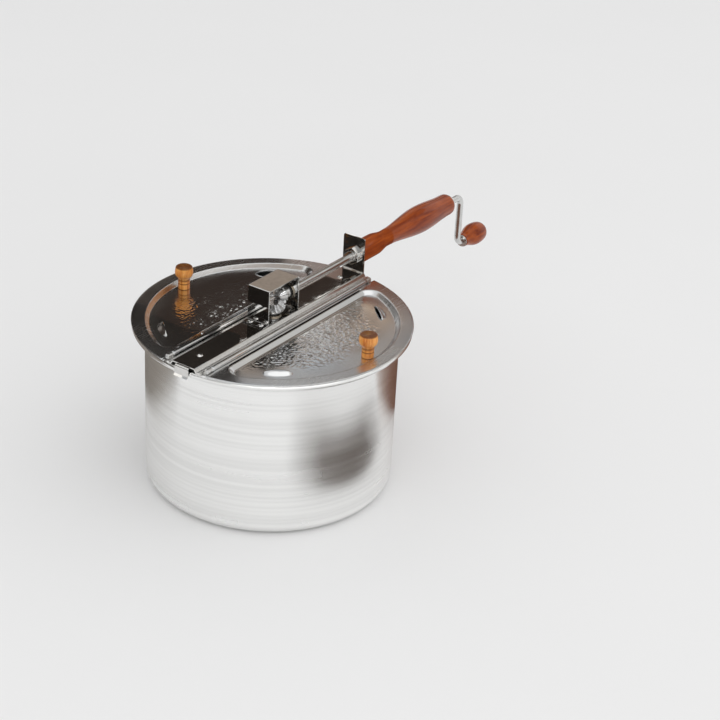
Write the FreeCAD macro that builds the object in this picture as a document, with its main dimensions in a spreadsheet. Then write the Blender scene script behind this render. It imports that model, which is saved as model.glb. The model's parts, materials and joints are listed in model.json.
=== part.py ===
import FreeCAD, Part

import math
import os

import Sketcher

Vector = FreeCAD.Vector

# A stovetop popcorn popper: an aluminium pot, a steel bar across its rim that carries
# two hinged half lids, a gear housing and a wooden handle, and a crank whose bevel
# gears turn a wire stirrer over the pot's bottom.
#
# Frame: origin at the centre of the pot's flat bottom, +Z up, +X along the bar towards
# the handle, -Y towards the front lid. Lengths are in millimetres, angles in degrees.

DRIVING_SIZES = {
    # pot
    "pot_radius": (108.5, "outside of the straight wall"),
    "pot_height": (150.0, "bottom to the top of the rim"),
    "pot_wall": (1.2, "sheet of the pot"),
    "base_corner": (12.0, "outside radius between bottom and wall"),
    "rim_bend": (2.0, "underside radius where the wall turns out into the rim"),
    "rim_overhang": (10.9, "rolled rim beyond the wall"),
    "rim_curl": (2.6, "outside radius of the rim's roll"),
    # gaps and fits
    "seat_gap": (0.3, "bar and lids over the rim"),
    "part_gap": (0.3, "between pieces that move past each other"),
    "fit_gap": (0.05, "radial clearance of a pin, shaft or bush in its hole"),
    # bar across the rim
    "bar_setback": (2.0, "outer face of the end plate inside the lids' edge"),
    "bar_sheet": (1.0, "sheet of the bar"),
    "floor_half": (11.5, "half width of the raised floor"),
    "floor_rise": (4.0, "top of the floor over the rim seat"),
    "shoulder_run": (2.0, "width of the sloping wall beside the floor"),
    "rib_gap": (1.1, "flat between the sloping wall and the stiffening rib"),
    "rib_radius": (1.1, "height of the stiffening rib"),
    "flange_lip": (0.8, "flat beyond the rib"),
    "floor_bend": (1.5, "outside radius along the floor's edges"),
    "plate_rise": (33.0, "top of the end plate over the floor"),
    "plate_corner": (2.0, "radius of the end plate's upper corners"),
    "knuckle_length": (5.0, "length of a hinge knuckle of the bar"),
    "knuckle_setback": (4.0, "knuckle from the end plate"),
    # hinges
    "hinge_play": (0.65, "bar's flange to the lid's rolled edge"),
    "hinge_pin_radius": (1.2, "hinge wire"),
    "pin_head_radius": (1.9, "head of the hinge wire"),
    "pin_head_length": (0.8, "thickness of that head"),
    "knuckle_play": (0.5, "end play between the rolled edge and a knuckle"),
    # half lids
    "lid_overhang": (0.6, "lids beyond the rim"),
    "lid_sheet": (1.0, "sheet of the lids"),
    "notch_margin": (0.55, "lid's corner notch beyond a knuckle"),
    "recess_play": (1.3, "upper edge of the round step beyond the pot's inside"),
    "strip_width": (6.5, "hinge axis to the upper edge of the straight step"),
    "recess_corner": (12.0, "radius of the recess's corners at the top"),
    "step_run": (4.0, "width of the sloping step"),
    "recess_depth": (3.5, "panel below the lid's outer ring"),
    # steam vents
    "vent_margin": (5.6, "hood from the foot of the round step"),
    "vent_angle": (40.0, "slit's direction from the bar"),
    "vent_half_length": (12.0, "half length of a hood"),
    "vent_reach": (6.0, "hood outwards from the slit"),
    "vent_rise": (2.8, "hood over the panel"),
    "vent_sheet": (0.8, "sheet of a hood"),
    # lid knobs
    "knob_margin": (0.85, "knob from the foot of the round step"),
    "knob_height": (21.0, "height of a lid knob"),
    "knob_neck": (5.25, "radius of its foot and neck"),
    "knob_neck_height": (8.0, "height of the neck"),
    "knob_head": (8.0, "largest radius of its head"),
    "knob_head_height": (14.5, "height of that largest radius"),
    "knob_top": (6.2, "radius of its flat top"),
    "knob_dish": (0.5, "depth of the dish in the top"),
    "knob_groove": (0.6, "depth of the turned groove in the neck"),
    "knob_groove_height": (5.4, "height of that groove"),
    "screw_radius": (1.9, "knob screw"),
    "screw_head_radius": (3.8, "head of the knob screw"),
    "screw_head_length": (1.8, "thickness of that head"),
    "screw_depth": (12.0, "screw's length inside the knob"),
    # gear housing
    "housing_half": (21.0, "half length along the bar"),
    "housing_inset": (0.3, "housing inside the floor's edge"),
    "housing_rise": (32.0, "top over the bar's floor"),
    "housing_sheet": (1.0, "sheet of the housing"),
    "foot_length": (7.0, "foot beyond the wall"),
    "housing_bend": (1.6, "outside radius of the upper bends"),
    "rivet_radius": (1.5, "shank of a rivet"),
    "rivet_head_radius": (2.8, "head of a rivet"),
    "rivet_head_height": (1.4, "height of the domed head"),
    "rivet_tail_radius": (2.2, "upset tail of a rivet"),
    "rivet_tail_height": (0.8, "height of that tail"),
    "rivet_inset": (5.6, "housing rivet from the foot's side"),
    "rivet_setback": (3.6, "housing rivet from the wall"),
    # crank and handle
    "rod_radius": (3.175, "rod of the crank, also the stirrer shaft"),
    "rod_rise": (14.7, "rod's axis over the bar's floor"),
    "tube_radius": (5.0, "outside of the tube in the handle"),
    "tube_end_radius": (8.0, "flared end of the tube"),
    "tube_end_length": (1.5, "thickness of that flare"),
    "tube_thread": (1.0, "tube beyond its nut"),
    "nut_radius": (8.2, "nut over its corners"),
    "nut_length": (4.0, "thickness of the nut"),
    "handle_length": (154.0, "length of the wooden handle"),
    "handle_foot": (10.0, "handle's radius at the end plate"),
    "handle_foot_length": (28.0, "length of that straight foot"),
    "handle_neck": (7.6, "handle's smallest radius"),
    "handle_neck_at": (46.0, "neck from the end plate"),
    "handle_palm": (12.8, "handle's largest radius"),
    "handle_palm_at": (106.0, "that radius from the end plate"),
    "handle_tail": (10.4, "handle's radius before its rounded end"),
    "handle_round": (6.0, "length of the rounded end"),
    "handle_tip": (7.4, "radius of its flat outer end"),
    "edge_round": (1.0, "broken edge of the turned wood"),
    "arm_setback": (22.5, "crank arm beyond the tube's flared end"),
    "arm_length": (50.0, "crank arm between its two axes"),
    "arm_bend": (8.0, "bend radius of the crank, at the middle of the rod"),
    "washer_radius": (6.0, "washers"),
    "washer_sheet": (0.8, "thickness of a washer"),
    "grip_length": (34.0, "length of the crank's knob"),
    "grip_foot": (6.5, "its radius by the arm"),
    "grip_belly": (10.8, "its largest radius"),
    "grip_belly_at": (21.0, "that radius from the arm's side"),
    "grip_tip": (7.0, "radius of its flat end"),
    "cap_radius": (5.4, "push nut on the spindle"),
    "cap_length": (3.6, "length of the push nut"),
    "cap_skin": (0.9, "its closed end"),
    # bushes
    "bush_radius": (5.0, "outside of both bushes"),
    "bush_flange_radius": (7.0, "their flanges"),
    "bush_flange": (1.2, "thickness of those flanges"),
    "rod_bush_nose": (1.2, "rod bush beyond the housing's wall"),
    "shaft_bush_depth": (8.0, "shaft bush below the bar's floor"),
    # bevel gears
    "gear_module": (1.25, "module at the large end"),
    "pinion_teeth": (12, "teeth on the crank's pinion"),
    "driven_teeth": (16, "teeth on the stirrer's gear"),
    "gear_addendum": (1.0, "tooth height over the pitch cone"),
    "gear_dedendum": (1.3, "tooth depth under the pitch cone"),
    "gear_backlash": (0.35, "taken off a tooth's thickness"),
    "pressure_angle": (20.0, "slope of a tooth's flank"),
    "gear_face": (6.25, "length of the teeth along the cone"),
    "gear_rim": (1.2, "metal over the bore and behind the teeth"),
    "gear_hub_radius": (5.2, "hub of a gear"),
    "gear_pin_radius": (0.8, "cross pin of a gear"),
    "pinion_pin_setback": (2.6, "pinion's cross pin from its hub's end"),
    "driven_pin_setback": (1.3, "driven gear's cross pin from its hub's end"),
    # stirrer
    "shaft_lift": (0.8, "shaft's end over the pot's bottom"),
    "wire_lift": (0.5, "wire over the pot's bottom"),
    "wire_radius": (1.6, "stirrer wire"),
    "wire_margin": (9.3, "wire's upturned tips from the pot's wall"),
    "wire_tip_height": (22.0, "top of those tips"),
    "wire_tip_bend": (8.0, "bend radius at the tips"),
    "wire_hub_half": (14.0, "half length of the wire's middle"),
    "wire_drop_bend": (4.3, "both bend radii between middle and arms"),
    "clip_groove": (0.7, "depth of the retaining clip's groove"),
    "shaft_clip_radius": (6.0, "outside of the retaining clip"),
    "shaft_clip_mouth": (4.0, "mouth of the retaining clip"),
    # rim clips
    "clip_half_width": (7.0, "half width of a rim clip"),
    "clip_sheet": (0.8, "spring steel of a rim clip"),
    "clip_length": (30.5, "clip's inner end to the outside of its leg"),
    "clip_rivet_setback": (7.0, "clip's rivet from that inner end"),
    "clip_leg": (9.0, "clip's leg below the bar's floor"),
    "clip_flare": (1.5, "outward flare of the leg's foot"),
    "clip_bend": (1.8, "outside radius of the clip's bend"),
}


class Size:
    """A length, angle or count together with the spreadsheet formula that gives it."""

    def __init__(self, value, formula):
        self.value = float(value)
        self.formula = formula

    @property
    def is_zero(self):
        return self.formula == "0"

    def _join(self, other, sign, value):
        return Size(value, "(%s %s %s)" % (self.formula, sign, other.formula))

    def __add__(self, other):
        other = sized(other)
        return self._join(other, "+", self.value + other.value)

    def __radd__(self, other):
        return sized(other) + self

    def __sub__(self, other):
        other = sized(other)
        return self._join(other, "-", self.value - other.value)

    def __rsub__(self, other):
        return sized(other) - self

    def __mul__(self, other):
        other = sized(other)
        return self._join(other, "*", self.value * other.value)

    def __rmul__(self, other):
        return sized(other) * self

    def __truediv__(self, other):
        other = sized(other)
        return self._join(other, "/", self.value / other.value)

    def __rtruediv__(self, other):
        return sized(other) / self

    def __neg__(self):
        return self if self.is_zero else Size(-self.value, "(-1 * %s)" % self.formula)


def sized(number):
    """The number as a Size, if it isn't one yet."""
    return number if isinstance(number, Size) else Size(number, "%.12g" % number)


def root(square):
    return Size(math.sqrt(square.value), "sqrt(%s)" % square.formula)


def larger(a, b):
    return Size(max(a.value, b.value), "max(%s; %s)" % (a.formula, b.formula))


def cosine(angle):
    return Size(math.cos(math.radians(angle.value)), "cos(%s)" % angle.formula)


def sine(angle):
    return Size(math.sin(math.radians(angle.value)), "sin(%s)" % angle.formula)


def tangent(angle):
    return Size(math.tan(math.radians(angle.value)), "tan(%s)" % angle.formula)


class Sizes:
    """The driving dimensions, one attribute each, as cells of the document's sheet."""

    def __init__(self, document):
        sheet = document.addObject("Spreadsheet::Sheet", "Sizes")
        for row, (alias, (value, note)) in enumerate(DRIVING_SIZES.items(), start=1):
            sheet.set("A%d" % row, alias)
            sheet.set("B%d" % row, "%.12g" % value)
            sheet.setAlias("B%d" % row, alias)
            sheet.set("C%d" % row, note)
            setattr(self, alias, Size(value, "Sizes." + alias))


doc = FreeCAD.newDocument("popcorn_popper")
S = Sizes(doc)
doc.recompute()

ZERO = sized(0)
SAME_PLACE = 0.01
X_AXIS = Vector(1, 0, 0)
Y_AXIS = Vector(0, 1, 0)
Z_AXIS = Vector(0, 0, 1)

# Radii that follow from the pot: its inside, its rim, and the lids that cover both.
inner_wall = S.pot_radius - S.pot_wall
rim_radius = S.pot_radius + S.rim_overhang
lid_radius = rim_radius + S.lid_overhang
recess_radius = inner_wall + S.recess_play
panel_radius = recess_radius - S.step_run
vent_radius = panel_radius - S.vent_margin - S.vent_reach
knob_offset = panel_radius - S.knob_margin - S.knob_neck
wire_reach = inner_wall - S.wire_margin

# Distances from the middle of the bar, outwards across it.
hinge_bore = S.hinge_pin_radius + S.fit_gap
shoulder_foot = S.floor_half + S.shoulder_run
rib_offset = shoulder_foot + S.rib_gap + S.rib_radius
flange_half = rib_offset + S.rib_radius + S.flange_lip
hinge_offset = flange_half + S.hinge_play + S.lid_sheet + hinge_bore
recess_edge = hinge_offset + S.strip_width
housing_half_width = S.floor_half - S.housing_inset
rivet_offset = housing_half_width - S.rivet_inset

# Levels over the pot's bottom that more than one piece is built to.
seat_level = S.pot_height + S.seat_gap
floor_level = seat_level + S.floor_rise
hinge_rise = larger(S.lid_sheet, S.bar_sheet) + hinge_bore
hinge_level = seat_level + hinge_rise
lid_level = hinge_level - hinge_bore
panel_level = lid_level - S.recess_depth
rod_level = floor_level + S.rod_rise

# Stations along the bar and the rod.
bar_half_length = lid_radius - S.bar_setback
plate_inner = bar_half_length - S.bar_sheet
knuckle_end = plate_inner - S.knuckle_setback
knuckle_start = knuckle_end - S.knuckle_length
curl_half = knuckle_start - S.knuckle_play
clip_inner_face = rim_radius + S.part_gap
clip_outer_face = clip_inner_face + S.clip_sheet
clip_inner_end = clip_outer_face - S.clip_length
clip_rivet_at = clip_inner_end + S.clip_rivet_setback
handle_end = bar_half_length + S.handle_length
tube_end = handle_end + S.tube_end_length
arm_at = tube_end + S.arm_setback
spindle_start = arm_at + S.arm_bend
grip_start = spindle_start + S.washer_sheet + S.part_gap
grip_end = grip_start + S.grip_length
cap_start = grip_end + S.part_gap
spindle_end = cap_start + S.cap_length - S.cap_skin - S.fit_gap
spindle_level = rod_level - S.arm_length


# ---------------------------------------------------------------- building blocks


def bind(item, name, size):
    """Sets a property of an object to a size and ties it to the sheet."""
    item.setExpression(name, sized(size).formula)


def place(item, x=ZERO, y=ZERO, z=ZERO, axis=None, angle=0):
    """Moves an object, turned about an axis first, and ties its place to the sheet."""
    x, y, z = sized(x), sized(y), sized(z)
    turn = FreeCAD.Rotation(axis, angle) if axis else FreeCAD.Rotation()
    item.Placement = FreeCAD.Placement(Vector(x.value, y.value, z.value), turn)
    for letter, size in (("x", x), ("y", y), ("z", z)):
        if not size.is_zero:
            bind(item, "Placement.Base." + letter, size)
    return item


def new_body(name):
    body = doc.addObject("PartDesign::Body", name)
    body.Label = name
    return body


def origin_feature(body, role):
    return next(item for item in body.Origin.OriginFeatures if item.Role == role)


def new_sketch(body, name, plane, lift=ZERO, turn=ZERO):
    """An empty sketch on one of the body's own planes, lifted and turned if asked."""
    sketch = body.newObject("Sketcher::SketchObject", name)
    sketch.AttachmentSupport = (origin_feature(body, plane), "")
    sketch.MapMode = "FlatFace"
    lift, turn = sized(lift), sized(turn)
    sketch.AttachmentOffset = FreeCAD.Placement(
        Vector(0, 0, lift.value), FreeCAD.Rotation(Z_AXIS, turn.value)
    )
    if not lift.is_zero:
        bind(sketch, "AttachmentOffset.Base.z", lift)
    if not turn.is_zero:
        bind(sketch, "AttachmentOffset.Rotation.Angle", turn)
    return sketch


def fix_point(sketch, edge, end, point):
    """Holds one point of a sketch at two sizes measured from the sketch's origin."""
    for size, kind, axis_line in zip(point, ("DistanceX", "DistanceY"), (-2, -1)):
        if size.is_zero:
            sketch.addConstraint(Sketcher.Constraint("PointOnObject", edge, end, axis_line))
        else:
            rule = Sketcher.Constraint(kind, -1, 1, edge, end, size.value)
            bind(sketch, "Constraints[%d]" % sketch.addConstraint(rule), size)


def line_to(x, y):
    return {"end": (sized(x), sized(y))}


def arc_to(x, y, centre_x, centre_y, radius):
    """An arc of less than half a turn to a point, the short way round its centre."""
    centre = Vector(sized(centre_x).value, sized(centre_y).value, 0)
    return {"end": (sized(x), sized(y)), "centre": centre, "radius": sized(radius)}


def swerve(start_x, start_y, end_x, end_y):
    """Two equal arcs that join two points and run along the sketch's Y at both."""
    side = (end_x - start_x) / 2
    along = (end_y - start_y) / 2
    radius = (side * side + along * along) / (2 * side)
    size = radius if radius.value > 0 else -radius
    return [
        arc_to(start_x + side, start_y + along, start_x + radius, start_y, size),
        arc_to(end_x, end_y, end_x - radius, end_y, size),
    ]


def arc_edge(start, step):
    """The arc of a step, and whether it runs from its own first point to its last."""
    centre, radius = step["centre"], step["radius"].value
    end = Vector(step["end"][0].value, step["end"][1].value, 0)
    first = math.atan2(start.y - centre.y, start.x - centre.x)
    last = math.atan2(end.y - centre.y, end.x - centre.x)
    turn = (last - first) % (2 * math.pi)
    circle = Part.Circle(centre, Z_AXIS, radius)
    if turn <= math.pi:
        return Part.ArcOfCircle(circle, first, first + turn), True
    return Part.ArcOfCircle(circle, last, last + 2 * math.pi - turn), False


def draw(sketch, start, steps, closed=True):
    """Draws lines and arcs from point to point, every point tied to the sheet."""
    start = (sized(start[0]), sized(start[1]))
    here = Vector(start[0].value, start[1].value, 0)
    previous = None
    first_end = None
    for number, step in enumerate(steps):
        there = Vector(step["end"][0].value, step["end"][1].value, 0)
        forward = True
        if "centre" in step:
            shape, forward = arc_edge(here, step)
        else:
            shape = Part.LineSegment(here, there)
        edge = sketch.addGeometry(shape, False)
        near, far = (1, 2) if forward else (2, 1)
        if previous is None:
            first_end = (edge, near)
            fix_point(sketch, edge, near, start)
        else:
            sketch.addConstraint(Sketcher.Constraint("Coincident", *previous, edge, near))
        if closed and number == len(steps) - 1:
            sketch.addConstraint(Sketcher.Constraint("Coincident", edge, far, *first_end))
        else:
            fix_point(sketch, edge, far, step["end"])
        if "centre" in step:
            rule = Sketcher.Constraint("Radius", edge, step["radius"].value)
            bind(sketch, "Constraints[%d]" % sketch.addConstraint(rule), step["radius"])
        previous = (edge, far)
        here = there


def draw_circle(sketch, x, y, radius):
    x, y, radius = sized(x), sized(y), sized(radius)
    centre = Vector(x.value, y.value, 0)
    edge = sketch.addGeometry(Part.Circle(centre, Z_AXIS, radius.value), False)
    fix_point(sketch, edge, 3, (x, y))
    rule = Sketcher.Constraint("Radius", edge, radius.value)
    bind(sketch, "Constraints[%d]" % sketch.addConstraint(rule), radius)


def pad(body, sketch, length, symmetric=False, reverse=False):
    feature = body.newObject("PartDesign::Pad", sketch.Name + "_pad")
    feature.Profile = sketch
    feature.SideType = "Symmetric" if symmetric else "One side"
    feature.Reversed = reverse
    bind(feature, "Length", length)
    return feature


def cut_through(body, sketch):
    """Cuts a sketch's outlines through the whole body, both ways."""
    feature = body.newObject("PartDesign::Pocket", sketch.Name + "_pocket")
    feature.Profile = sketch
    feature.Type = "ThroughAll"
    feature.SideType = "Symmetric"
    return feature


def spin(body, sketch, kind="PartDesign::Revolution"):
    """Turns a sketch on the XZ plane about the body's Z axis, to add or to cut."""
    feature = body.newObject(kind, sketch.Name + "_turn")
    feature.Profile = sketch
    feature.ReferenceAxis = (origin_feature(body, "Z_Axis"), [""])
    feature.Angle = 360
    return feature


def mirror_whole(body, name, plane):
    """Adds the mirror image of all that the body has so far."""
    half = body.Tip
    whole = body.newObject("PartDesign::Mirrored", name)
    whole.TransformMode = "Whole shape"
    whole.MirrorPlane = (origin_feature(body, plane), [""])
    whole.BaseFeature = half
    body.Tip = whole
    return whole


def turned(name, start, steps):
    """A piece turned about its own Z axis from an outline of radius and height."""
    body = new_body(name)
    sketch = new_sketch(body, name + "_outline", "XZ_Plane")
    draw(sketch, start, steps)
    spin(body, sketch)
    return body


def ring(name, inner, outer, length):
    """A plain washer or collar whose lower face is at its origin."""
    return turned(
        name,
        (inner, ZERO),
        [line_to(outer, ZERO), line_to(outer, length), line_to(inner, length), line_to(inner, ZERO)],
    )


def part(kind, name, **sizes):
    """A primitive of the Part workbench with its sizes tied to the sheet."""
    item = doc.addObject("Part::" + kind, name)
    for key, size in sizes.items():
        bind(item, key, size)
    return item


def combined(kind, name, **links):
    """A boolean or group of the Part workbench."""
    item = doc.addObject("Part::" + kind, name)
    for key, value in links.items():
        setattr(item, key, value)
    item.Label = name
    return item


def edges_where(feature, wanted):
    """Names of a feature's edges that a test picks."""
    doc.recompute()
    edges = feature.Shape.Edges
    return ["Edge%d" % (number + 1) for number, edge in enumerate(edges) if wanted(edge)]


def round_edges(body, feature, wanted, radius):
    fillet = body.newObject("PartDesign::Fillet", feature.Name + "_round")
    fillet.Base = (feature, edges_where(feature, wanted))
    bind(fillet, "Radius", radius)
    return fillet


def close(a, b):
    return abs(a - b) < SAME_PLACE


def runs_along_x(edge, y_half, height):
    """Whether a straight edge runs along X at a distance from the middle and a height."""
    ends = [vertex.Point for vertex in edge.Vertexes]
    return all(close(abs(end.y), y_half.value) and close(end.z, height.value) for end in ends)


# ---------------------------------------------------------------- pot


def make_pot():
    """Spun sheet: flat bottom, rounded corner, straight wall, flange and rolled rim."""
    wall, height, corner = S.pot_wall, S.pot_height, S.base_corner
    corner_x = S.pot_radius - corner
    bend_x = S.pot_radius + S.rim_bend
    bend_z = height - wall - S.rim_bend
    roll_x = rim_radius - S.rim_curl
    roll_z = height - S.rim_curl
    inside = S.rim_curl - wall
    steps = [
        line_to(corner_x, ZERO),
        arc_to(S.pot_radius, corner, corner_x, corner, corner),
        line_to(S.pot_radius, bend_z),
        arc_to(bend_x, height - wall, bend_x, bend_z, S.rim_bend),
        line_to(roll_x, height - wall),
        arc_to(roll_x + inside, roll_z, roll_x, roll_z, inside),
        arc_to(roll_x, roll_z - inside, roll_x, roll_z, inside),
        arc_to(roll_x - inside, roll_z, roll_x, roll_z, inside),
        line_to(roll_x - S.rim_curl, roll_z),
        arc_to(roll_x, roll_z - S.rim_curl, roll_x, roll_z, S.rim_curl),
        arc_to(rim_radius, roll_z, roll_x, roll_z, S.rim_curl),
        arc_to(roll_x, height, roll_x, roll_z, S.rim_curl),
        line_to(bend_x, height),
        arc_to(inner_wall, bend_z, bend_x, bend_z, S.rim_bend + wall),
        line_to(inner_wall, corner),
        arc_to(corner_x, wall, corner_x, corner, corner - wall),
        line_to(ZERO, wall),
        line_to(ZERO, ZERO),
    ]
    return turned("pot", (ZERO, ZERO), steps)


# ---------------------------------------------------------------- bridge


def bar_outline():
    """Half of the bar's section: floor, sloping wall, ribbed flange and their backs."""
    sheet, rise = S.bar_sheet, S.floor_rise
    foot = shoulder_foot
    rib_in, rib_out = rib_offset - S.rib_radius, rib_offset + S.rib_radius
    return [
        line_to(S.floor_half, rise),
        line_to(foot, sheet),
        line_to(rib_in, sheet),
        arc_to(rib_offset, sheet + S.rib_radius, rib_offset, sheet, S.rib_radius),
        arc_to(rib_out, sheet, rib_offset, sheet, S.rib_radius),
        line_to(flange_half, sheet),
        line_to(flange_half, ZERO),
        line_to(foot - sheet / 2, ZERO),
        line_to(S.floor_half - sheet / 2, rise - sheet),
        line_to(ZERO, rise - sheet),
        line_to(ZERO, rise),
    ]


def add_knuckle(body, side, name):
    """One end's hinge knuckle: a tongue from the flange and an eye around the pin."""
    eye = hinge_bore + S.bar_sheet
    start = -1 * knuckle_start if side < 0 else knuckle_start
    tongue = new_sketch(body, name + "_tongue", "YZ_Plane", start)
    root_y = flange_half - S.bar_sheet
    steps = [
        line_to(hinge_offset, ZERO),
        line_to(hinge_offset, S.bar_sheet),
        line_to(root_y, S.bar_sheet),
        line_to(root_y, ZERO),
    ]
    draw(tongue, (root_y, ZERO), steps)
    pad(body, tongue, S.knuckle_length, reverse=side < 0)
    round_eye = new_sketch(body, name + "_eye", "YZ_Plane", start)
    draw_circle(round_eye, hinge_offset, hinge_rise, eye)
    pad(body, round_eye, S.knuckle_length, reverse=side < 0)


def make_bridge_bar():
    """Pressed bar: hat section with ribbed flanges, hinge knuckles and an end plate."""
    body = new_body("bridge_bar")
    section = new_sketch(body, "bar_section", "YZ_Plane")
    draw(section, (ZERO, S.floor_rise), bar_outline())
    bar = pad(body, section, 2 * bar_half_length, symmetric=True)
    round_edges(
        body, bar, lambda edge: runs_along_x(edge, S.floor_half, S.floor_rise), S.floor_bend
    )
    add_knuckle(body, 1, "right_knuckle")
    add_knuckle(body, -1, "left_knuckle")
    plate = new_sketch(body, "end_plate", "YZ_Plane", plate_inner)
    top = S.floor_rise + S.plate_rise
    corner_y, corner_z = S.floor_half - S.plate_corner, top - S.plate_corner
    steps = [
        line_to(S.floor_half, S.floor_rise - S.bar_sheet),
        line_to(S.floor_half, corner_z),
        arc_to(corner_y, top, corner_y, corner_z, S.plate_corner),
        line_to(ZERO, top),
        line_to(ZERO, S.floor_rise - S.bar_sheet),
    ]
    draw(plate, (ZERO, S.floor_rise - S.bar_sheet), steps)
    pad(body, plate, S.bar_sheet)
    mirror_whole(body, "bar_mirrored", "XZ_Plane")
    eyes = new_sketch(body, "hinge_bores", "YZ_Plane")
    for side in (1, -1):
        draw_circle(eyes, side * hinge_offset, hinge_rise, hinge_bore)
    draw_circle(eyes, ZERO, S.floor_rise + S.rod_rise, S.tube_radius + S.fit_gap)
    cut_through(body, eyes)
    holes = new_sketch(body, "floor_holes", "XY_Plane")
    draw_circle(holes, ZERO, ZERO, S.bush_radius + S.fit_gap)
    for x, y in housing_rivet_places() + clip_rivet_places():
        draw_circle(holes, x, y, S.rivet_radius + S.fit_gap)
    cut_through(body, holes)
    return place(body, z=seat_level)


def housing_rivet_places():
    x = S.housing_half + S.rivet_setback
    return [(side_x * x, side_y * rivet_offset) for side_x in (1, -1) for side_y in (1, -1)]


def clip_rivet_places():
    return [(clip_rivet_at, ZERO), (-1 * clip_rivet_at, ZERO)]


def make_gear_housing():
    """Sheet bent to an inverted U, open towards both lids, with a foot at each end."""
    body = new_body("gear_housing")
    sheet, half, top = S.housing_sheet, S.housing_half, S.housing_rise
    bend = S.housing_bend
    inner_bend = bend - sheet
    foot_end = half + S.foot_length
    outline = new_sketch(body, "housing_outline", "XZ_Plane")
    steps = [
        line_to(half - bend, top),
        arc_to(half, top - bend, half - bend, top - bend, bend),
        line_to(half, sheet),
        line_to(foot_end, sheet),
        line_to(foot_end, ZERO),
        line_to(half - sheet, ZERO),
        line_to(half - sheet, top - bend),
        arc_to(half - bend, top - sheet, half - bend, top - bend, inner_bend),
        line_to(ZERO, top - sheet),
        line_to(ZERO, top),
    ]
    draw(outline, (ZERO, top), steps)
    pad(body, outline, 2 * housing_half_width, symmetric=True)
    mirror_whole(body, "housing_mirrored", "YZ_Plane")
    window = new_sketch(body, "rod_bush_hole", "YZ_Plane")
    draw_circle(window, ZERO, S.rod_rise, S.bush_radius + S.fit_gap)
    hole = body.newObject("PartDesign::Pocket", "rod_bush_pocket")
    hole.Profile = window
    hole.Type = "ThroughAll"
    hole.Reversed = True
    feet = new_sketch(body, "foot_holes", "XY_Plane")
    for x, y in housing_rivet_places():
        draw_circle(feet, x, y, S.rivet_radius + S.fit_gap)
    cut_through(body, feet)
    return place(body, z=floor_level)


def make_rivet(name, grip):
    """Domed head above its origin, shank through the grip and upset tail below."""
    reach = S.rivet_head_radius
    rise = S.rivet_head_height
    dome = (reach * reach + rise * rise) / (2 * rise)
    steps = [
        arc_to(reach, ZERO, ZERO, rise - dome, dome),
        line_to(S.rivet_radius, ZERO),
        line_to(S.rivet_radius, -1 * grip),
        line_to(S.rivet_tail_radius, -1 * grip),
        line_to(S.rivet_tail_radius, -1 * grip - S.rivet_tail_height),
        line_to(ZERO, -1 * grip - S.rivet_tail_height),
        line_to(ZERO, rise),
    ]
    return turned(name, (ZERO, rise), steps)


def make_rivets(name, grip, head_level, places):
    rivets = []
    for number, (x, y) in enumerate(places, start=1):
        rivet = make_rivet("%s_%d" % (name, number), grip)
        rivets.append(place(rivet, x, y, head_level))
    return combined("Compound", name, Links=rivets)


def make_flanged_bush(name, body_length):
    """Bush whose flange stands on its origin and whose body goes down from there."""
    bore = S.rod_radius + S.fit_gap
    steps = [
        line_to(S.bush_flange_radius, S.bush_flange),
        line_to(S.bush_flange_radius, ZERO),
        line_to(S.bush_radius, ZERO),
        line_to(S.bush_radius, -1 * body_length),
        line_to(bore, -1 * body_length),
        line_to(bore, S.bush_flange),
    ]
    return turned(name, (bore, S.bush_flange), steps)


def make_rod_bush():
    body = make_flanged_bush("rod_bush", S.housing_sheet + S.rod_bush_nose)
    return place(body, S.housing_half - S.housing_sheet, ZERO, rod_level, Y_AXIS, -90)


def make_shaft_bush():
    body = make_flanged_bush("shaft_bush", S.bar_sheet + S.shaft_bush_depth)
    return place(body, z=floor_level)


def make_handle_tube():
    """Tube through the handle: threaded in the nut at one end, flared at the other."""
    start = plate_inner - S.nut_length - S.tube_thread
    flare = handle_end - start
    bore = S.rod_radius + S.fit_gap
    steps = [
        line_to(S.tube_radius, ZERO),
        line_to(S.tube_radius, flare),
        line_to(S.tube_end_radius, flare),
        line_to(S.tube_end_radius, flare + S.tube_end_length),
        line_to(bore, flare + S.tube_end_length),
        line_to(bore, ZERO),
    ]
    return place(turned("handle_tube", (bore, ZERO), steps), start, ZERO, rod_level, Y_AXIS, 90)


def make_handle_nut():
    blank = part("Prism", "nut_blank", Circumradius=S.nut_radius, Height=S.nut_length)
    blank.Polygon = 6
    bore = part("Cylinder", "nut_bore", Radius=S.tube_radius + S.fit_gap, Height=S.nut_length)
    nut = combined("Cut", "handle_nut", Base=blank, Tool=bore)
    return place(nut, plate_inner - S.nut_length, ZERO, rod_level, Y_AXIS, 90)


def make_wood_handle():
    """Turned handle: straight foot, waist, full palm and rounded end."""
    bore = S.tube_radius + S.fit_gap
    foot, neck, palm, tail = S.handle_foot, S.handle_neck, S.handle_palm, S.handle_tail
    edge = S.edge_round
    tail_at = S.handle_length - S.handle_round
    end = S.handle_tip
    run, drop = S.handle_round, tail - end
    bow = (run * run + drop * drop) / (2 * drop)
    steps = [
        line_to(foot - edge, ZERO),
        arc_to(foot, edge, foot - edge, edge, edge),
        line_to(foot, S.handle_foot_length),
        *swerve(foot, S.handle_foot_length, neck, S.handle_neck_at),
        *swerve(neck, S.handle_neck_at, palm, S.handle_palm_at),
        *swerve(palm, S.handle_palm_at, tail, tail_at),
        arc_to(end, S.handle_length, tail - bow, tail_at, bow),
        line_to(bore, S.handle_length),
        line_to(bore, ZERO),
    ]
    body = turned("wood_handle", (bore, ZERO), steps)
    return place(body, bar_half_length, ZERO, rod_level, Y_AXIS, 90)


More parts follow.
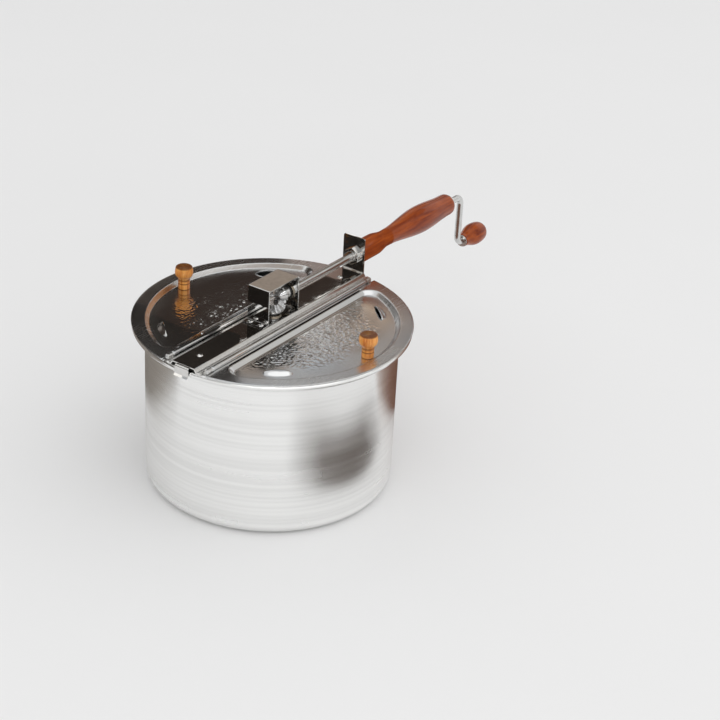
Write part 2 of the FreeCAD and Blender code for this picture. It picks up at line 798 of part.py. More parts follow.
def make_hinge_pin(name, side):
    """Wire along the bar with an upset head at each end."""
    head, wire = S.pin_head_radius, S.hinge_pin_radius
    length = 2 * knuckle_end
    steps = [
        line_to(head, -1 * S.pin_head_length),
        line_to(head, ZERO),
        line_to(wire, ZERO),
        line_to(wire, length),
        line_to(head, length),
        line_to(head, length + S.pin_head_length),
        line_to(ZERO, length + S.pin_head_length),
        line_to(ZERO, -1 * S.pin_head_length),
    ]
    body = turned(name, (ZERO, -1 * S.pin_head_length), steps)
    return place(body, -1 * knuckle_end, side * hinge_offset, hinge_level, Y_AXIS, 90)


def make_rim_clip(name, side):
    """Spring strip under the floor whose leg bears on the outside of the rim."""
    body = new_body(name)
    sheet, bend, flare = S.clip_sheet, S.clip_bend, S.clip_flare
    inner, outer = clip_inner_face, clip_outer_face
    leg_end = -1 * (S.clip_leg - flare)
    outline = new_sketch(body, name + "_outline", "XZ_Plane")
    steps = [
        line_to(side * (outer - bend), ZERO),
        arc_to(side * outer, -1 * bend, side * (outer - bend), -1 * bend, bend),
        line_to(side * outer, leg_end),
        line_to(side * (outer + flare), leg_end - flare),
        line_to(side * (outer + flare - sheet), leg_end - flare),
        line_to(side * inner, leg_end - sheet / 2),
        line_to(side * inner, -1 * bend),
        arc_to(side * (outer - bend), -1 * sheet, side * (outer - bend), -1 * bend, bend - sheet),
        line_to(side * clip_inner_end, -1 * sheet),
        line_to(side * clip_inner_end, ZERO),
    ]
    draw(outline, (side * clip_inner_end, ZERO), steps)
    pad(body, outline, 2 * S.clip_half_width, symmetric=True)
    hole = new_sketch(body, name + "_hole", "XY_Plane")
    draw_circle(hole, side * clip_rivet_at, ZERO, S.rivet_radius + S.fit_gap)
    cut_through(body, hole)
    return place(body, z=floor_level - S.bar_sheet)


def make_bridge():
    clip_grip = S.bar_sheet + S.clip_sheet
    housing_grip = S.housing_sheet + S.bar_sheet
    return [
        make_bridge_bar(),
        make_gear_housing(),
        make_rivets(
            "housing_rivets", housing_grip, floor_level + S.housing_sheet, housing_rivet_places()
        ),
        make_rod_bush(),
        make_shaft_bush(),
        make_handle_tube(),
        make_handle_nut(),
        make_wood_handle(),
        make_hinge_pin("front_hinge_pin", -1),
        make_hinge_pin("rear_hinge_pin", 1),
        make_rim_clip("rim_clip_left", -1),
        make_rim_clip("rim_clip_right", 1),
        make_rivets("clip_rivets", clip_grip, floor_level, clip_rivet_places()),
    ]


# ---------------------------------------------------------------- half lids
# A half lid is built as the front one, with z = 0 at the top of its outer ring.


def dish_outline(round_edge, straight_edge, corner):
    """Start and steps of the recess at one height: a D with rounded corners."""
    centre_y = -1 * (straight_edge + corner)
    spread = round_edge - corner
    centre_x = root(spread * spread - centre_y * centre_y)
    grow = round_edge / spread
    steps = [
        line_to(centre_x, -1 * straight_edge),
        arc_to(centre_x * grow, centre_y * grow, centre_x, centre_y, corner),
        arc_to(ZERO, -1 * round_edge, ZERO, ZERO, round_edge),
        arc_to(-1 * centre_x * grow, centre_y * grow, ZERO, ZERO, round_edge),
        arc_to(-1 * centre_x, -1 * straight_edge, -1 * centre_x, centre_y, corner),
    ]
    return (-1 * centre_x, -1 * straight_edge), steps


def dish_loft(body, name, kind, top, swell):
    """Tapered recess, or its outside when swell is the sheet's offset."""
    sections = []
    for step_name, height, inset in (
        ("upper", top, ZERO),
        ("lower", top - S.recess_depth, S.step_run),
    ):
        sketch = new_sketch(body, "%s_%s" % (name, step_name), "XY_Plane", height)
        shift = swell - inset
        start, steps = dish_outline(
            recess_radius + shift, recess_edge - shift, S.recess_corner + shift
        )
        draw(sketch, start, steps)
        sections.append(sketch)
    loft = body.newObject(kind, name)
    loft.Profile = sections[0]
    loft.Sections = [sections[1]]
    loft.Ruled = True
    return loft


def make_lid_sheet(name):
    """Pressed half lid: outer ring, sloping step, sunk panel and rolled hinge edge."""
    body = new_body(name + "_sheet")
    sheet = S.lid_sheet
    edge_y = -1 * (hinge_offset + hinge_bore)
    notch_y = -1 * (hinge_offset + hinge_bore + S.bar_sheet + S.notch_margin)
    end_x = root(lid_radius * lid_radius - notch_y * notch_y)
    half = curl_half
    plate = new_sketch(body, name + "_plate", "XY_Plane", -1 * sheet)
    steps = [
        line_to(half, edge_y),
        line_to(half, notch_y),
        line_to(end_x, notch_y),
        arc_to(ZERO, -1 * lid_radius, ZERO, ZERO, lid_radius),
        arc_to(-1 * end_x, notch_y, ZERO, ZERO, lid_radius),
        line_to(-1 * half, notch_y),
        line_to(-1 * half, edge_y),
    ]
    draw(plate, (-1 * half, edge_y), steps)
    pad(body, plate, sheet)
    slope = root(S.step_run * S.step_run + S.recess_depth * S.recess_depth)
    swell = sheet * (slope - S.step_run) / S.recess_depth
    dish_loft(body, name + "_dish", "PartDesign::AdditiveLoft", -1 * sheet, swell)
    dish_loft(body, name + "_recess", "PartDesign::SubtractiveLoft", ZERO, ZERO)
    curl = new_sketch(body, name + "_curl", "YZ_Plane")
    draw_circle(curl, -1 * hinge_offset, hinge_bore, hinge_bore + sheet)
    draw_circle(curl, -1 * hinge_offset, hinge_bore, hinge_bore)
    pad(body, curl, 2 * half, symmetric=True)
    hole = new_sketch(body, name + "_knob_hole", "XY_Plane")
    draw_circle(hole, ZERO, -1 * knob_offset, S.screw_radius + S.fit_gap)
    cut_through(body, hole)
    return body


def vent_lens(name, side, shrink):
    """Half of a flattened ellipsoid beyond the slit: a hood's outside or its inside."""
    lens = part(
        "Ellipsoid",
        name + "_lens",
        Radius1=S.vent_rise - shrink,
        Radius2=S.vent_reach - shrink,
        Radius3=S.vent_half_length - shrink,
    )
    keep = part(
        "Box",
        name + "_keep",
        Length=S.vent_reach,
        Width=2 * S.vent_half_length,
        Height=S.vent_rise + S.lid_sheet,
    )
    place(keep, y=-1 * S.vent_half_length, z=-1 * S.lid_sheet)
    half = combined("Common", name, Base=lens, Tool=keep)
    angle = S.vent_angle if side > 0 else 180 - S.vent_angle
    turn = -1 * angle
    half.Placement = FreeCAD.Placement(
        Vector(0, 0, 0), FreeCAD.Rotation(Z_AXIS, turn.value)
    )
    bind(half, "Placement.Rotation.Angle", turn)
    bind(half, "Placement.Base.x", vent_radius * cosine(turn))
    bind(half, "Placement.Base.y", vent_radius * sine(turn))
    bind(half, "Placement.Base.z", -1 * S.recess_depth)
    return half


def make_lid(name, angle):
    """A half lid with two hooded vents, turned half round for the rear one."""
    sheet = make_lid_sheet(name)
    hoods = [
        vent_lens("%s_hood_%s" % (name, word), side, ZERO)
        for word, side in (("right", 1), ("left", -1))
    ]
    throats = [
        vent_lens("%s_throat_%s" % (name, word), side, S.vent_sheet)
        for word, side in (("right", 1), ("left", -1))
    ]
    raised = combined("MultiFuse", name + "_hooded", Shapes=[sheet] + hoods)
    openings = combined("MultiFuse", name + "_throats", Shapes=throats)
    lid = combined("Cut", name, Base=raised, Tool=openings)
    return place(lid, z=lid_level, axis=Z_AXIS, angle=angle)


def make_lid_knob(name, side):
    """Turned knob: grooved neck, flared head and a slightly dished top."""
    neck, head, top = S.knob_neck, S.knob_head, S.knob_top
    groove, groove_z = S.knob_groove, S.knob_groove_height
    bore = S.screw_radius + S.fit_gap
    rise = S.knob_height - S.knob_head_height
    bow = (rise * rise + (head - top) * (head - top)) / (2 * (head - top))
    dish = (top * top + S.knob_dish * S.knob_dish) / (2 * S.knob_dish)
    steps = [
        line_to(neck, ZERO),
        line_to(neck, groove_z - groove),
        line_to(neck - groove, groove_z),
        line_to(neck, groove_z + groove),
        line_to(neck, S.knob_neck_height),
        *swerve(neck, S.knob_neck_height, head, S.knob_head_height),
        arc_to(top, S.knob_height, head - bow, S.knob_head_height, bow),
        arc_to(ZERO, S.knob_height - S.knob_dish, ZERO, S.knob_height - S.knob_dish + dish, dish),
        line_to(ZERO, S.screw_depth + S.fit_gap),
        line_to(bore, S.screw_depth + S.fit_gap),
        line_to(bore, ZERO),
    ]
    body = turned(name, (bore, ZERO), steps)
    return place(body, ZERO, side * knob_offset, panel_level)


def make_knob_screw(name, side):
    """Screw from below the panel: flat head, then the shank up into the knob."""
    seat = S.screw_head_length
    tip = seat + S.lid_sheet + S.screw_depth
    steps = [
        line_to(S.screw_head_radius, ZERO),
        line_to(S.screw_head_radius, seat),
        line_to(S.screw_radius, seat),
        line_to(S.screw_radius, tip),
        line_to(ZERO, tip),
        line_to(ZERO, ZERO),
    ]
    body = turned(name, (ZERO, ZERO), steps)
    return place(body, ZERO, side * knob_offset, panel_level - S.lid_sheet - seat)


def make_lids():
    pieces = []
    for word, side, angle in (("front", -1, 0), ("rear", 1, 180)):
        pieces.append(make_lid(word + "_lid", angle))
        pieces.append(make_lid_knob(word + "_knob", side))
        pieces.append(make_knob_screw(word + "_knob_screw", side))
    return pieces


# ---------------------------------------------------------------- bevel gears


class BevelGear:
    """Sizes of one gear of the pair, measured from the apex that both cones share."""

    def __init__(self, teeth, mate_teeth):
        self.teeth = teeth
        pitch = S.gear_module * teeth / 2
        depth = S.gear_module * mate_teeth / 2
        cone = root(pitch * pitch + depth * depth)
        rise, run = pitch / cone, depth / cone
        self.rise, self.run, self.pitch, self.depth = rise, run, pitch, depth
        self.tip_radius = pitch + S.gear_addendum * run
        self.tip_at = depth - S.gear_addendum * rise
        self.root_radius = pitch - S.gear_dedendum * run
        self.root_at = depth + S.gear_dedendum * rise
        self.small_at = depth - S.gear_face * run
        self.bore_at = (S.rod_radius + S.gear_rim) * self.root_at / self.root_radius
        self.back_at = self.root_at + S.gear_rim


pinion = BevelGear(S.pinion_teeth, S.driven_teeth)
driven = BevelGear(S.driven_teeth, S.pinion_teeth)
pinion_hub_end = S.housing_half - S.housing_sheet - S.bush_flange - S.part_gap - S.washer_sheet
driven_hub_end = S.rod_rise - S.bush_flange - S.part_gap - S.washer_sheet
pinion_pin_at = pinion_hub_end - S.pinion_pin_setback
driven_pin_at = driven_hub_end - S.driven_pin_setback


def make_bevel_gear(name, gear, hub_end, pin_at, phase):
    """Bevel gear along its own Z from the apex: root cone, hub, teeth and cross hole."""
    body = new_body(name)
    bore = S.rod_radius + S.fit_gap
    slope = gear.root_radius / gear.root_at
    blank = new_sketch(body, name + "_blank", "XZ_Plane")
    steps = [
        line_to(slope * gear.small_at, gear.small_at),
        line_to(gear.root_radius, gear.root_at),
        line_to(gear.root_radius, gear.back_at),
        line_to(S.gear_hub_radius, gear.back_at),
        line_to(S.gear_hub_radius, hub_end),
        line_to(bore, hub_end),
        line_to(bore, gear.bore_at),
        line_to(ZERO, gear.bore_at),
        line_to(ZERO, gear.small_at),
    ]
    draw(blank, (ZERO, gear.small_at), steps)
    spin(body, blank)
    tooth = add_tooth(body, name, gear, phase)
    crown = body.newObject("PartDesign::PolarPattern", name + "_teeth")
    crown.Originals = [tooth]
    crown.Axis = (origin_feature(body, "Z_Axis"), [""])
    crown.Angle = 360
    bind(crown, "Occurrences", gear.teeth)
    body.Tip = crown
    trim = new_sketch(body, name + "_back_cone", "XZ_Plane")
    reach = gear.pitch
    far_radius = gear.pitch + reach * gear.run
    beyond = gear.back_at + S.gear_module
    steps = [
        line_to(gear.root_radius, gear.root_at),
        line_to(gear.root_radius, beyond),
        line_to(far_radius, beyond),
        line_to(far_radius, gear.depth - reach * gear.rise),
    ]
    draw(trim, (far_radius, gear.depth - reach * gear.rise), steps)
    spin(body, trim, "PartDesign::Groove")
    hole = new_sketch(body, name + "_pin_hole", "XZ_Plane")
    draw_circle(hole, ZERO, pin_at, S.gear_pin_radius + S.fit_gap)
    cut_through(body, hole)
    return body


def add_tooth(body, name, gear, phase):
    """One straight tooth whose flanks run to the apex, from its small end past its root."""
    lean = tangent(S.pressure_angle)
    thickness = S.gear_module * math.pi / 2 - S.gear_backlash
    tip_half = thickness / 2 - S.gear_addendum * lean
    root_half = thickness / 2 + S.gear_dedendum * lean
    past_root = (gear.root_at + gear.back_at) / 2
    sections = []
    for word, height in (("small", gear.small_at), ("large", past_root)):
        sketch = new_sketch(body, "%s_%s_end" % (name, word), "XY_Plane", height, phase)
        tip_x, tip_y = gear.tip_radius / gear.tip_at * height, tip_half / gear.tip_at * height
        root_x = gear.root_radius / gear.root_at * height - S.gear_addendum / 2
        root_y = root_half / gear.root_at * height
        steps = [
            line_to(tip_x, -1 * tip_y),
            line_to(tip_x, tip_y),
            line_to(root_x, root_y),
            line_to(root_x, -1 * root_y),
        ]
        draw(sketch, (root_x, -1 * root_y), steps)
        sections.append(sketch)
    loft = body.newObject("PartDesign::AdditiveLoft", name + "_tooth")
    loft.Profile = sections[0]
    loft.Sections = [sections[1]]
    loft.Ruled = True
    return loft


# ---------------------------------------------------------------- crank


def make_crank_rod():
    """One rod: drive rod, arm bent down and spindle bent out again."""
    body = new_body("crank_rod")
    start = pinion.bore_at + S.fit_gap
    bend, arm = S.arm_bend, S.arm_length
    route = new_sketch(body, "crank_route", "XZ_Plane")
    steps = [
        line_to(arm_at - bend, ZERO),
        arc_to(arm_at, -1 * bend, arm_at - bend, -1 * bend, bend),
        line_to(arm_at, bend - arm),
        arc_to(arm_at + bend, -1 * arm, arm_at + bend, bend - arm, bend),
        line_to(spindle_end, -1 * arm),
    ]
    draw(route, (start, ZERO), steps, closed=False)
    section = new_sketch(body, "crank_section", "YZ_Plane", start)
    draw_circle(section, ZERO, ZERO, S.rod_radius)
    rod = body.newObject("PartDesign::AdditivePipe", "crank_pipe")
    rod.Profile = section
    rod.Spine = (route, [])
    hole = new_sketch(body, "crank_pin_hole", "XZ_Plane")
    draw_circle(hole, pinion_pin_at, ZERO, S.gear_pin_radius + S.fit_gap)
    cut_through(body, hole)
    return place(body, z=rod_level)


def make_cross_pin(name, x, z):
    """Pin along Y through a gear's hub, centred on its shaft."""
    pin = part("Cylinder", name, Radius=S.gear_pin_radius, Height=2 * S.gear_hub_radius)
    pin.Label = name
    return place(pin, x, S.gear_hub_radius, z, X_AXIS, 90)


def make_push_nut():
    """Closed cap pressed on the spindle's end, which keeps the knob on."""
    bore = S.rod_radius + S.fit_gap
    depth = S.cap_length - S.cap_skin
    edge = S.cap_skin
    steps = [
        line_to(S.cap_radius, ZERO),
        line_to(S.cap_radius, S.cap_length - edge),
        arc_to(
            S.cap_radius - edge, S.cap_length, S.cap_radius - edge, S.cap_length - edge, edge
        ),
        line_to(ZERO, S.cap_length),
        line_to(ZERO, depth),
        line_to(bore, depth),
        line_to(bore, ZERO),
    ]
    body = turned("knob_push_nut", (bore, ZERO), steps)
    return place(body, cap_start, ZERO, spindle_level, Y_AXIS, 90)


def make_crank_knob():
    """Turned wooden knob that spins on the spindle."""
    bore = S.rod_radius + S.fit_gap
    foot, belly, tip = S.grip_foot, S.grip_belly, S.grip_tip
    run, drop = S.grip_length - S.grip_belly_at, belly - tip
    bow = (run * run + drop * drop) / (2 * drop)
    edge = S.edge_round
    steps = [
        line_to(foot, ZERO),
        line_to(foot, edge),
        *swerve(foot, edge, belly, S.grip_belly_at),
        arc_to(tip, S.grip_length, belly - bow, S.grip_belly_at, bow),
        line_to(bore, S.grip_length),
        line_to(bore, ZERO),
    ]
    body = turned("crank_knob", (bore, ZERO), steps)
    return place(body, grip_start, ZERO, spindle_level, Y_AXIS, 90)


def make_crank():
    gear = make_bevel_gear(
        "pinion_gear", pinion, pinion_hub_end, pinion_pin_at, 180 / S.pinion_teeth
    )
    bore = S.rod_radius + S.fit_gap
    washer = ring("pinion_washer", bore, S.washer_radius, S.washer_sheet)
    stop = ring("knob_stop_washer", bore, S.washer_radius, S.washer_sheet)
    return [
        make_crank_rod(),
        place(gear, z=rod_level, axis=Y_AXIS, angle=90),
        make_cross_pin("pinion_pin", pinion_pin_at, rod_level),
        place(washer, pinion_hub_end, ZERO, rod_level, Y_AXIS, 90),
        place(stop, spindle_start, ZERO, spindle_level, Y_AXIS, 90),
        make_push_nut(),
        make_crank_knob(),
    ]


# ---------------------------------------------------------------- stirrer


wire_level = S.pot_wall + S.wire_lift + S.wire_radius
wire_hub_level = wire_level + 2 * S.wire_drop_bend
shaft_bottom = S.pot_wall + S.shaft_lift
shaft_top = rod_level - driven.bore_at - S.fit_gap
groove_top = floor_level - S.bar_sheet - S.shaft_bush_depth - S.part_gap
groove_bottom = groove_top - S.washer_sheet - S.fit_gap
groove_radius = S.rod_radius - S.clip_groove


def make_stirrer_shaft():
    """Upright shaft with a clip groove and cross holes for the gear pin and the wire."""
    body = new_body("stirrer_shaft")
    outline = new_sketch(body, "shaft_outline", "XZ_Plane")
    steps = [
        line_to(S.rod_radius, shaft_bottom),
        line_to(S.rod_radius, groove_bottom),
        line_to(groove_radius, groove_bottom),
        line_to(groove_radius, groove_top),
        line_to(S.rod_radius, groove_top),
        line_to(S.rod_radius, shaft_top),
        line_to(ZERO, shaft_top),
        line_to(ZERO, shaft_bottom),
    ]
    draw(outline, (ZERO, shaft_bottom), steps)
    spin(body, outline)
    wire_hole = new_sketch(body, "wire_hole", "YZ_Plane")
    draw_circle(wire_hole, ZERO, wire_hub_level, S.wire_radius + S.fit_gap)
    cut_through(body, wire_hole)
    pin_hole = new_sketch(body, "shaft_pin_hole", "XZ_Plane")
    draw_circle(pin_hole, ZERO, rod_level - driven_pin_at, S.gear_pin_radius + S.fit_gap)
    cut_through(body, pin_hole)
    return body


def make_stirrer_wire():
    """Wire through the shaft that drops to the bottom and turns up at both tips."""
    body = new_body("stirrer_wire")
    bend, drop = S.wire_tip_bend, S.wire_drop_bend
    reach, hub, top = wire_reach, S.wire_hub_half, S.wire_tip_height
    outer = reach - bend
    inner = hub + 2 * drop
    middle = hub + drop
    tip_centre = wire_level + bend
    drop_centre = wire_level + drop
    route = new_sketch(body, "wire_route", "XZ_Plane")
    steps = [
        line_to(-1 * reach, tip_centre),
        arc_to(-1 * outer, wire_level, -1 * outer, tip_centre, bend),
        line_to(-1 * inner, wire_level),
        arc_to(-1 * middle, drop_centre, -1 * inner, drop_centre, drop),
        arc_to(-1 * hub, wire_hub_level, -1 * hub, drop_centre, drop),
        line_to(hub, wire_hub_level),
        arc_to(middle, drop_centre, hub, drop_centre, drop),
        arc_to(inner, wire_level, inner, drop_centre, drop),
        line_to(outer, wire_level),
        arc_to(reach, tip_centre, outer, tip_centre, bend),
        line_to(reach, top),
    ]
    draw(route, (-1 * reach, top), steps, closed=False)
    section = new_sketch(body, "wire_section", "XY_Plane", top)
    draw_circle(section, -1 * reach, ZERO, S.wire_radius)
    wire = body.newObject("PartDesign::AdditivePipe", "wire_pipe")
    wire.Profile = section
    wire.Spine = (route, [])
    return body


def make_shaft_clip():
    """Open ring in the shaft's groove that keeps the shaft from lifting."""
    sheet = S.washer_sheet
    disc = part("Cylinder", "clip_disc", Radius=S.shaft_clip_radius, Height=sheet)
    bore = part("Cylinder", "clip_bore", Radius=groove_radius + S.fit_gap, Height=sheet)
    mouth = part(
        "Box", "clip_mouth", Length=S.shaft_clip_radius, Width=S.shaft_clip_mouth, Height=sheet
    )
    place(mouth, y=-1 * S.shaft_clip_mouth / 2)
    opening = combined("MultiFuse", "clip_opening", Shapes=[bore, mouth])
    clip = combined("Cut", "shaft_clip", Base=disc, Tool=opening)
    return place(clip, z=groove_top - sheet)


def make_stirrer():
    gear = make_bevel_gear("driven_gear", driven, driven_hub_end, driven_pin_at, ZERO)
    washer = ring("thrust_washer", S.rod_radius + S.fit_gap, S.washer_radius, S.washer_sheet)
    return [
        place(gear, z=rod_level, axis=X_AXIS, angle=180),
        make_cross_pin("gear_pin", ZERO, rod_level - driven_pin_at),
        place(washer, z=floor_level + S.bush_flange + S.part_gap),
        make_stirrer_shaft(),
        make_stirrer_wire(),
        make_shaft_clip(),
    ]


# ---------------------------------------------------------------- build, test, write


def check_document():
    """Stops if any object of the document failed to compute."""
    failed = [item.Label for item in doc.Objects if {"Invalid", "Error"} & set(item.State)]
    if failed:
        raise RuntimeError("not computed: " + ", ".join(failed))


def write_piece(piece):
    """Writes one sub-part's STEP file if its shape is whole and valid."""
    shape = piece.Shape
    if shape.isNull() or not shape.isValid() or not shape.Solids:
        raise RuntimeError("bad shape: " + piece.Label)
    shape.exportStep("parts/%s.step" % piece.Label)


pieces = [make_pot()] + make_bridge() + make_lids() + make_crank() + make_stirrer()
doc.recompute()
check_document()
os.makedirs("parts", exist_ok=True)
for piece in pieces:
    write_piece(piece)
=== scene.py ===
import json
import math

import bmesh
import bpy
from mathutils import Matrix, Vector, geometry, noise


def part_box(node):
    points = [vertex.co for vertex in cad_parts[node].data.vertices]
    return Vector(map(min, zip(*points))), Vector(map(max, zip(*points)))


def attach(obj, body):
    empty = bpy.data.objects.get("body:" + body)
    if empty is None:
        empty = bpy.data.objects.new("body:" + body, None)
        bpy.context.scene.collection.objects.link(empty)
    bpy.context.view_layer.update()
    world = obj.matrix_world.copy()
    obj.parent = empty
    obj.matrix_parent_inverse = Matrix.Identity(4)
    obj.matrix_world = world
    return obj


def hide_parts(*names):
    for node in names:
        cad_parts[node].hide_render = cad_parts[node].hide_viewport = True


# A stovetop popcorn popper in a plain pale studio. Shapes are written in millimetres in the
# frame's own axes and become metres when a mesh is made. What shows is made finer here than in
# the frame: pot, lids, bar, housing, turned wood. Small hardware keeps its frame solids.

MM = 0.001
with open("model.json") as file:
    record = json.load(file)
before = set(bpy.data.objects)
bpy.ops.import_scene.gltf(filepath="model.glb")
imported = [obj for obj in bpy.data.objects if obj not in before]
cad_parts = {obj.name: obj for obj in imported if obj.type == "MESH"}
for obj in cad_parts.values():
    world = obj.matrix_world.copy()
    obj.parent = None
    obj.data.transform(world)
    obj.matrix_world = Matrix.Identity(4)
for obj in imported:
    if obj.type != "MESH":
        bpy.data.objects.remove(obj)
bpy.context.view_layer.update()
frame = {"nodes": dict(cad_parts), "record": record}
nodes = frame["nodes"]


def span(node):
    """Lowest and highest corner of a frame node, in millimetres."""
    low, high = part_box(node)
    return low / MM, high / MM


# ---------------------------------------- sizes read from the frame

pot_high = span("pot")[1]
lid_low = span("front_lid")[0]
bar_low, bar_high = span("bridge_bar")
housing_low, housing_high = span("gear_housing")
pin_low, pin_high = span("front_hinge_pin")
tube_low, tube_high = span("handle_tube")
handle_low, handle_high = span("wood_handle")
grip_low, grip_high = span("crank_knob")
knob_low, knob_high = span("front_knob")

rim_radius = pot_high.x
pot_height = pot_high.z
lid_radius = -lid_low.y
seat_level = bar_low.z
bar_half = bar_high.x
hinge_y = -(pin_low.y + pin_high.y) / 2
hinge_z = (pin_low.z + pin_high.z) / 2
rod_level = (tube_low.z + tube_high.z) / 2
spindle_level = (grip_low.z + grip_high.z) / 2
knob_y = -(knob_low.y + knob_high.y) / 2
floor_level = housing_low.z

# ---------------------------------------- sizes of the finer pieces

# Sheet and shared sizes.
WALL = 1.2
SHEET = 1.0
HINGE_BORE = 1.25

# The pot's rim and foot.
RIM_OVERHANG = 10.9
RIM_CURL = 2.6
RIM_NECK_BEND = 2.0
RIM_THROAT_BEND = 3.2
BASE_CORNER = 12.0
POT_SEGMENTS = 288

# Turned outlines start just beside their axis, points closer than the weld distance become
# one, and only corners over the edge angle count as edges.
AXIS_HOLE = 0.01
WELD_DISTANCE = 0.002
EDGE_ANGLE = 35.0
MITRE_LIMIT = 0.5

lid_level = hinge_z - HINGE_BORE
wall_radius = rim_radius - RIM_OVERHANG
inner_radius = wall_radius - WALL


# ---------------------------------------- mesh helpers


def rounded(points, pieces=6, closed=False):
    """An outline whose corners are arcs: a point is (x, y), or (x, y, radius) to round it."""
    result = []
    for number, point in enumerate(points):
        here = Vector(point[:2])
        at_end = not closed and number in (0, len(points) - 1)
        if len(point) == 2 or at_end:
            result.append(here)
            continue
        before = (Vector(points[number - 1][:2]) - here).normalized()
        after = (Vector(points[(number + 1) % len(points)][:2]) - here).normalized()
        half = before.angle(after) / 2
        centre = here + (before + after).normalized() * point[2] / math.sin(half)
        start = here + before * point[2] / math.tan(half) - centre
        end = here + after * point[2] / math.tan(half) - centre
        first = math.atan2(start.y, start.x)
        turn = (math.atan2(end.y, end.x) - first + math.pi) % (2 * math.pi) - math.pi
        for step in range(pieces + 1):
            angle = first + turn * step / pieces
            result.append(centre + point[2] * Vector((math.cos(angle), math.sin(angle))))
    return result


def arc(centre_x, centre_y, radius, first, last, pieces):
    """Points of an arc between two angles in degrees."""
    points = []
    for step in range(pieces + 1):
        angle = math.radians(first + (last - first) * step / pieces)
        points.append(Vector((centre_x + radius * math.cos(angle), centre_y + radius * math.sin(angle))))
    return points


def sheet_outline(path, thickness):
    """Closed outline of a bent sheet: the path is one face, the other lies to its right."""
    offset = []
    for number, point in enumerate(path):
        before = path[max(number - 1, 0)]
        after = path[min(number + 1, len(path) - 1)]
        one = (point - before).normalized() if point != before else (after - point).normalized()
        two = (after - point).normalized() if after != point else one
        along = (one + two).normalized()
        reach = thickness / max(along.dot(one), MITRE_LIMIT)
        offset.append(point + Vector((along.y, -along.x)) * reach)
    return list(path) + offset[::-1]


def make_piece(name, mesh_parts, body, slot, replaces, crease=EDGE_ANGLE):
    """One object from parts of (vertices in mm, faces), riding on a body of the frame."""
    mesh = bpy.data.meshes.new(name)
    vertices = []
    faces = []
    for part_vertices, part_faces in mesh_parts:
        start = len(vertices)
        vertices += [Vector(v) * MM for v in part_vertices]
        faces += [tuple(start + index for index in face) for face in part_faces]
    mesh.from_pydata(vertices, [], faces)
    form = bmesh.new()
    form.from_mesh(mesh)
    bmesh.ops.remove_doubles(form, verts=form.verts, dist=WELD_DISTANCE * MM)
    bmesh.ops.recalc_face_normals(form, faces=form.faces)
    form.to_mesh(mesh)
    form.free()
    mesh.shade_smooth()
    mesh.set_sharp_from_angle(angle=math.radians(crease))
    mesh.materials.append(LOOKS[slot])
    piece = bpy.data.objects.new(name, mesh)
    bpy.context.scene.collection.objects.link(piece)
    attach(piece, body)
    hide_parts(*replaces)
    return piece


def quads(rows, width, closed=True):
    """Faces between rows of equally many points; closed rows go right round."""
    faces = []
    for row in range(rows - 1):
        low, high = row * width, (row + 1) * width
        for step in range(width if closed else width - 1):
            after = (step + 1) % width
            faces.append((low + step, low + after, high + after, high + step))
    return faces


def lathe(outline, segments, axis="Z", origin=(0, 0, 0)):
    """Turns an outline of (radius, height) about an axis through the origin given."""
    vertices = []
    for radius, height in outline:
        for step in range(segments):
            angle = 2 * math.pi * step / segments
            across, up = radius * math.cos(angle), radius * math.sin(angle)
            local = (across, up, height) if axis == "Z" else (height, across, up)
            vertices.append(Vector(origin) + Vector(local))
    return vertices, quads(len(outline), segments)


def prism(outline, stations, place):
    """Sweeps a closed outline along the stations; place(station, a, b) gives each point."""
    vertices = [place(station, a, b) for station in stations for a, b in outline]
    count = len(outline)
    caps = [tuple(range(count)), tuple(len(vertices) - count + k for k in range(count))]
    return vertices, caps + quads(len(stations), count)


def along_x(station, a, b):
    """Places an outline of (y, z) at a station on X."""
    return (station, a, b)


def along_y(station, a, b):
    """Places an outline of (x, z) at a station on Y."""
    return (a, station, b)


def soften(piece, width, weld=False):
    """Narrow rounded edges, which catch the light as on real sheet and castings."""
    if weld:
        piece.modifiers.new("weld", "WELD").merge_threshold = WELD_DISTANCE * MM
    bevel = piece.modifiers.new("edges", "BEVEL")
    bevel.width = width * MM
    bevel.segments = 2
    bevel.limit_method = "ANGLE"
    bevel.angle_limit = math.radians(EDGE_ANGLE)
    flatten(piece)


def flatten(piece, weight=100):
    """Keeps broad faces flat in the shading, with all the bending in the narrow ones."""
    normals = piece.modifiers.new("normals", "WEIGHTED_NORMAL")
    normals.weight = weight
    normals.keep_sharp = True


# ---------------------------------------- material helpers


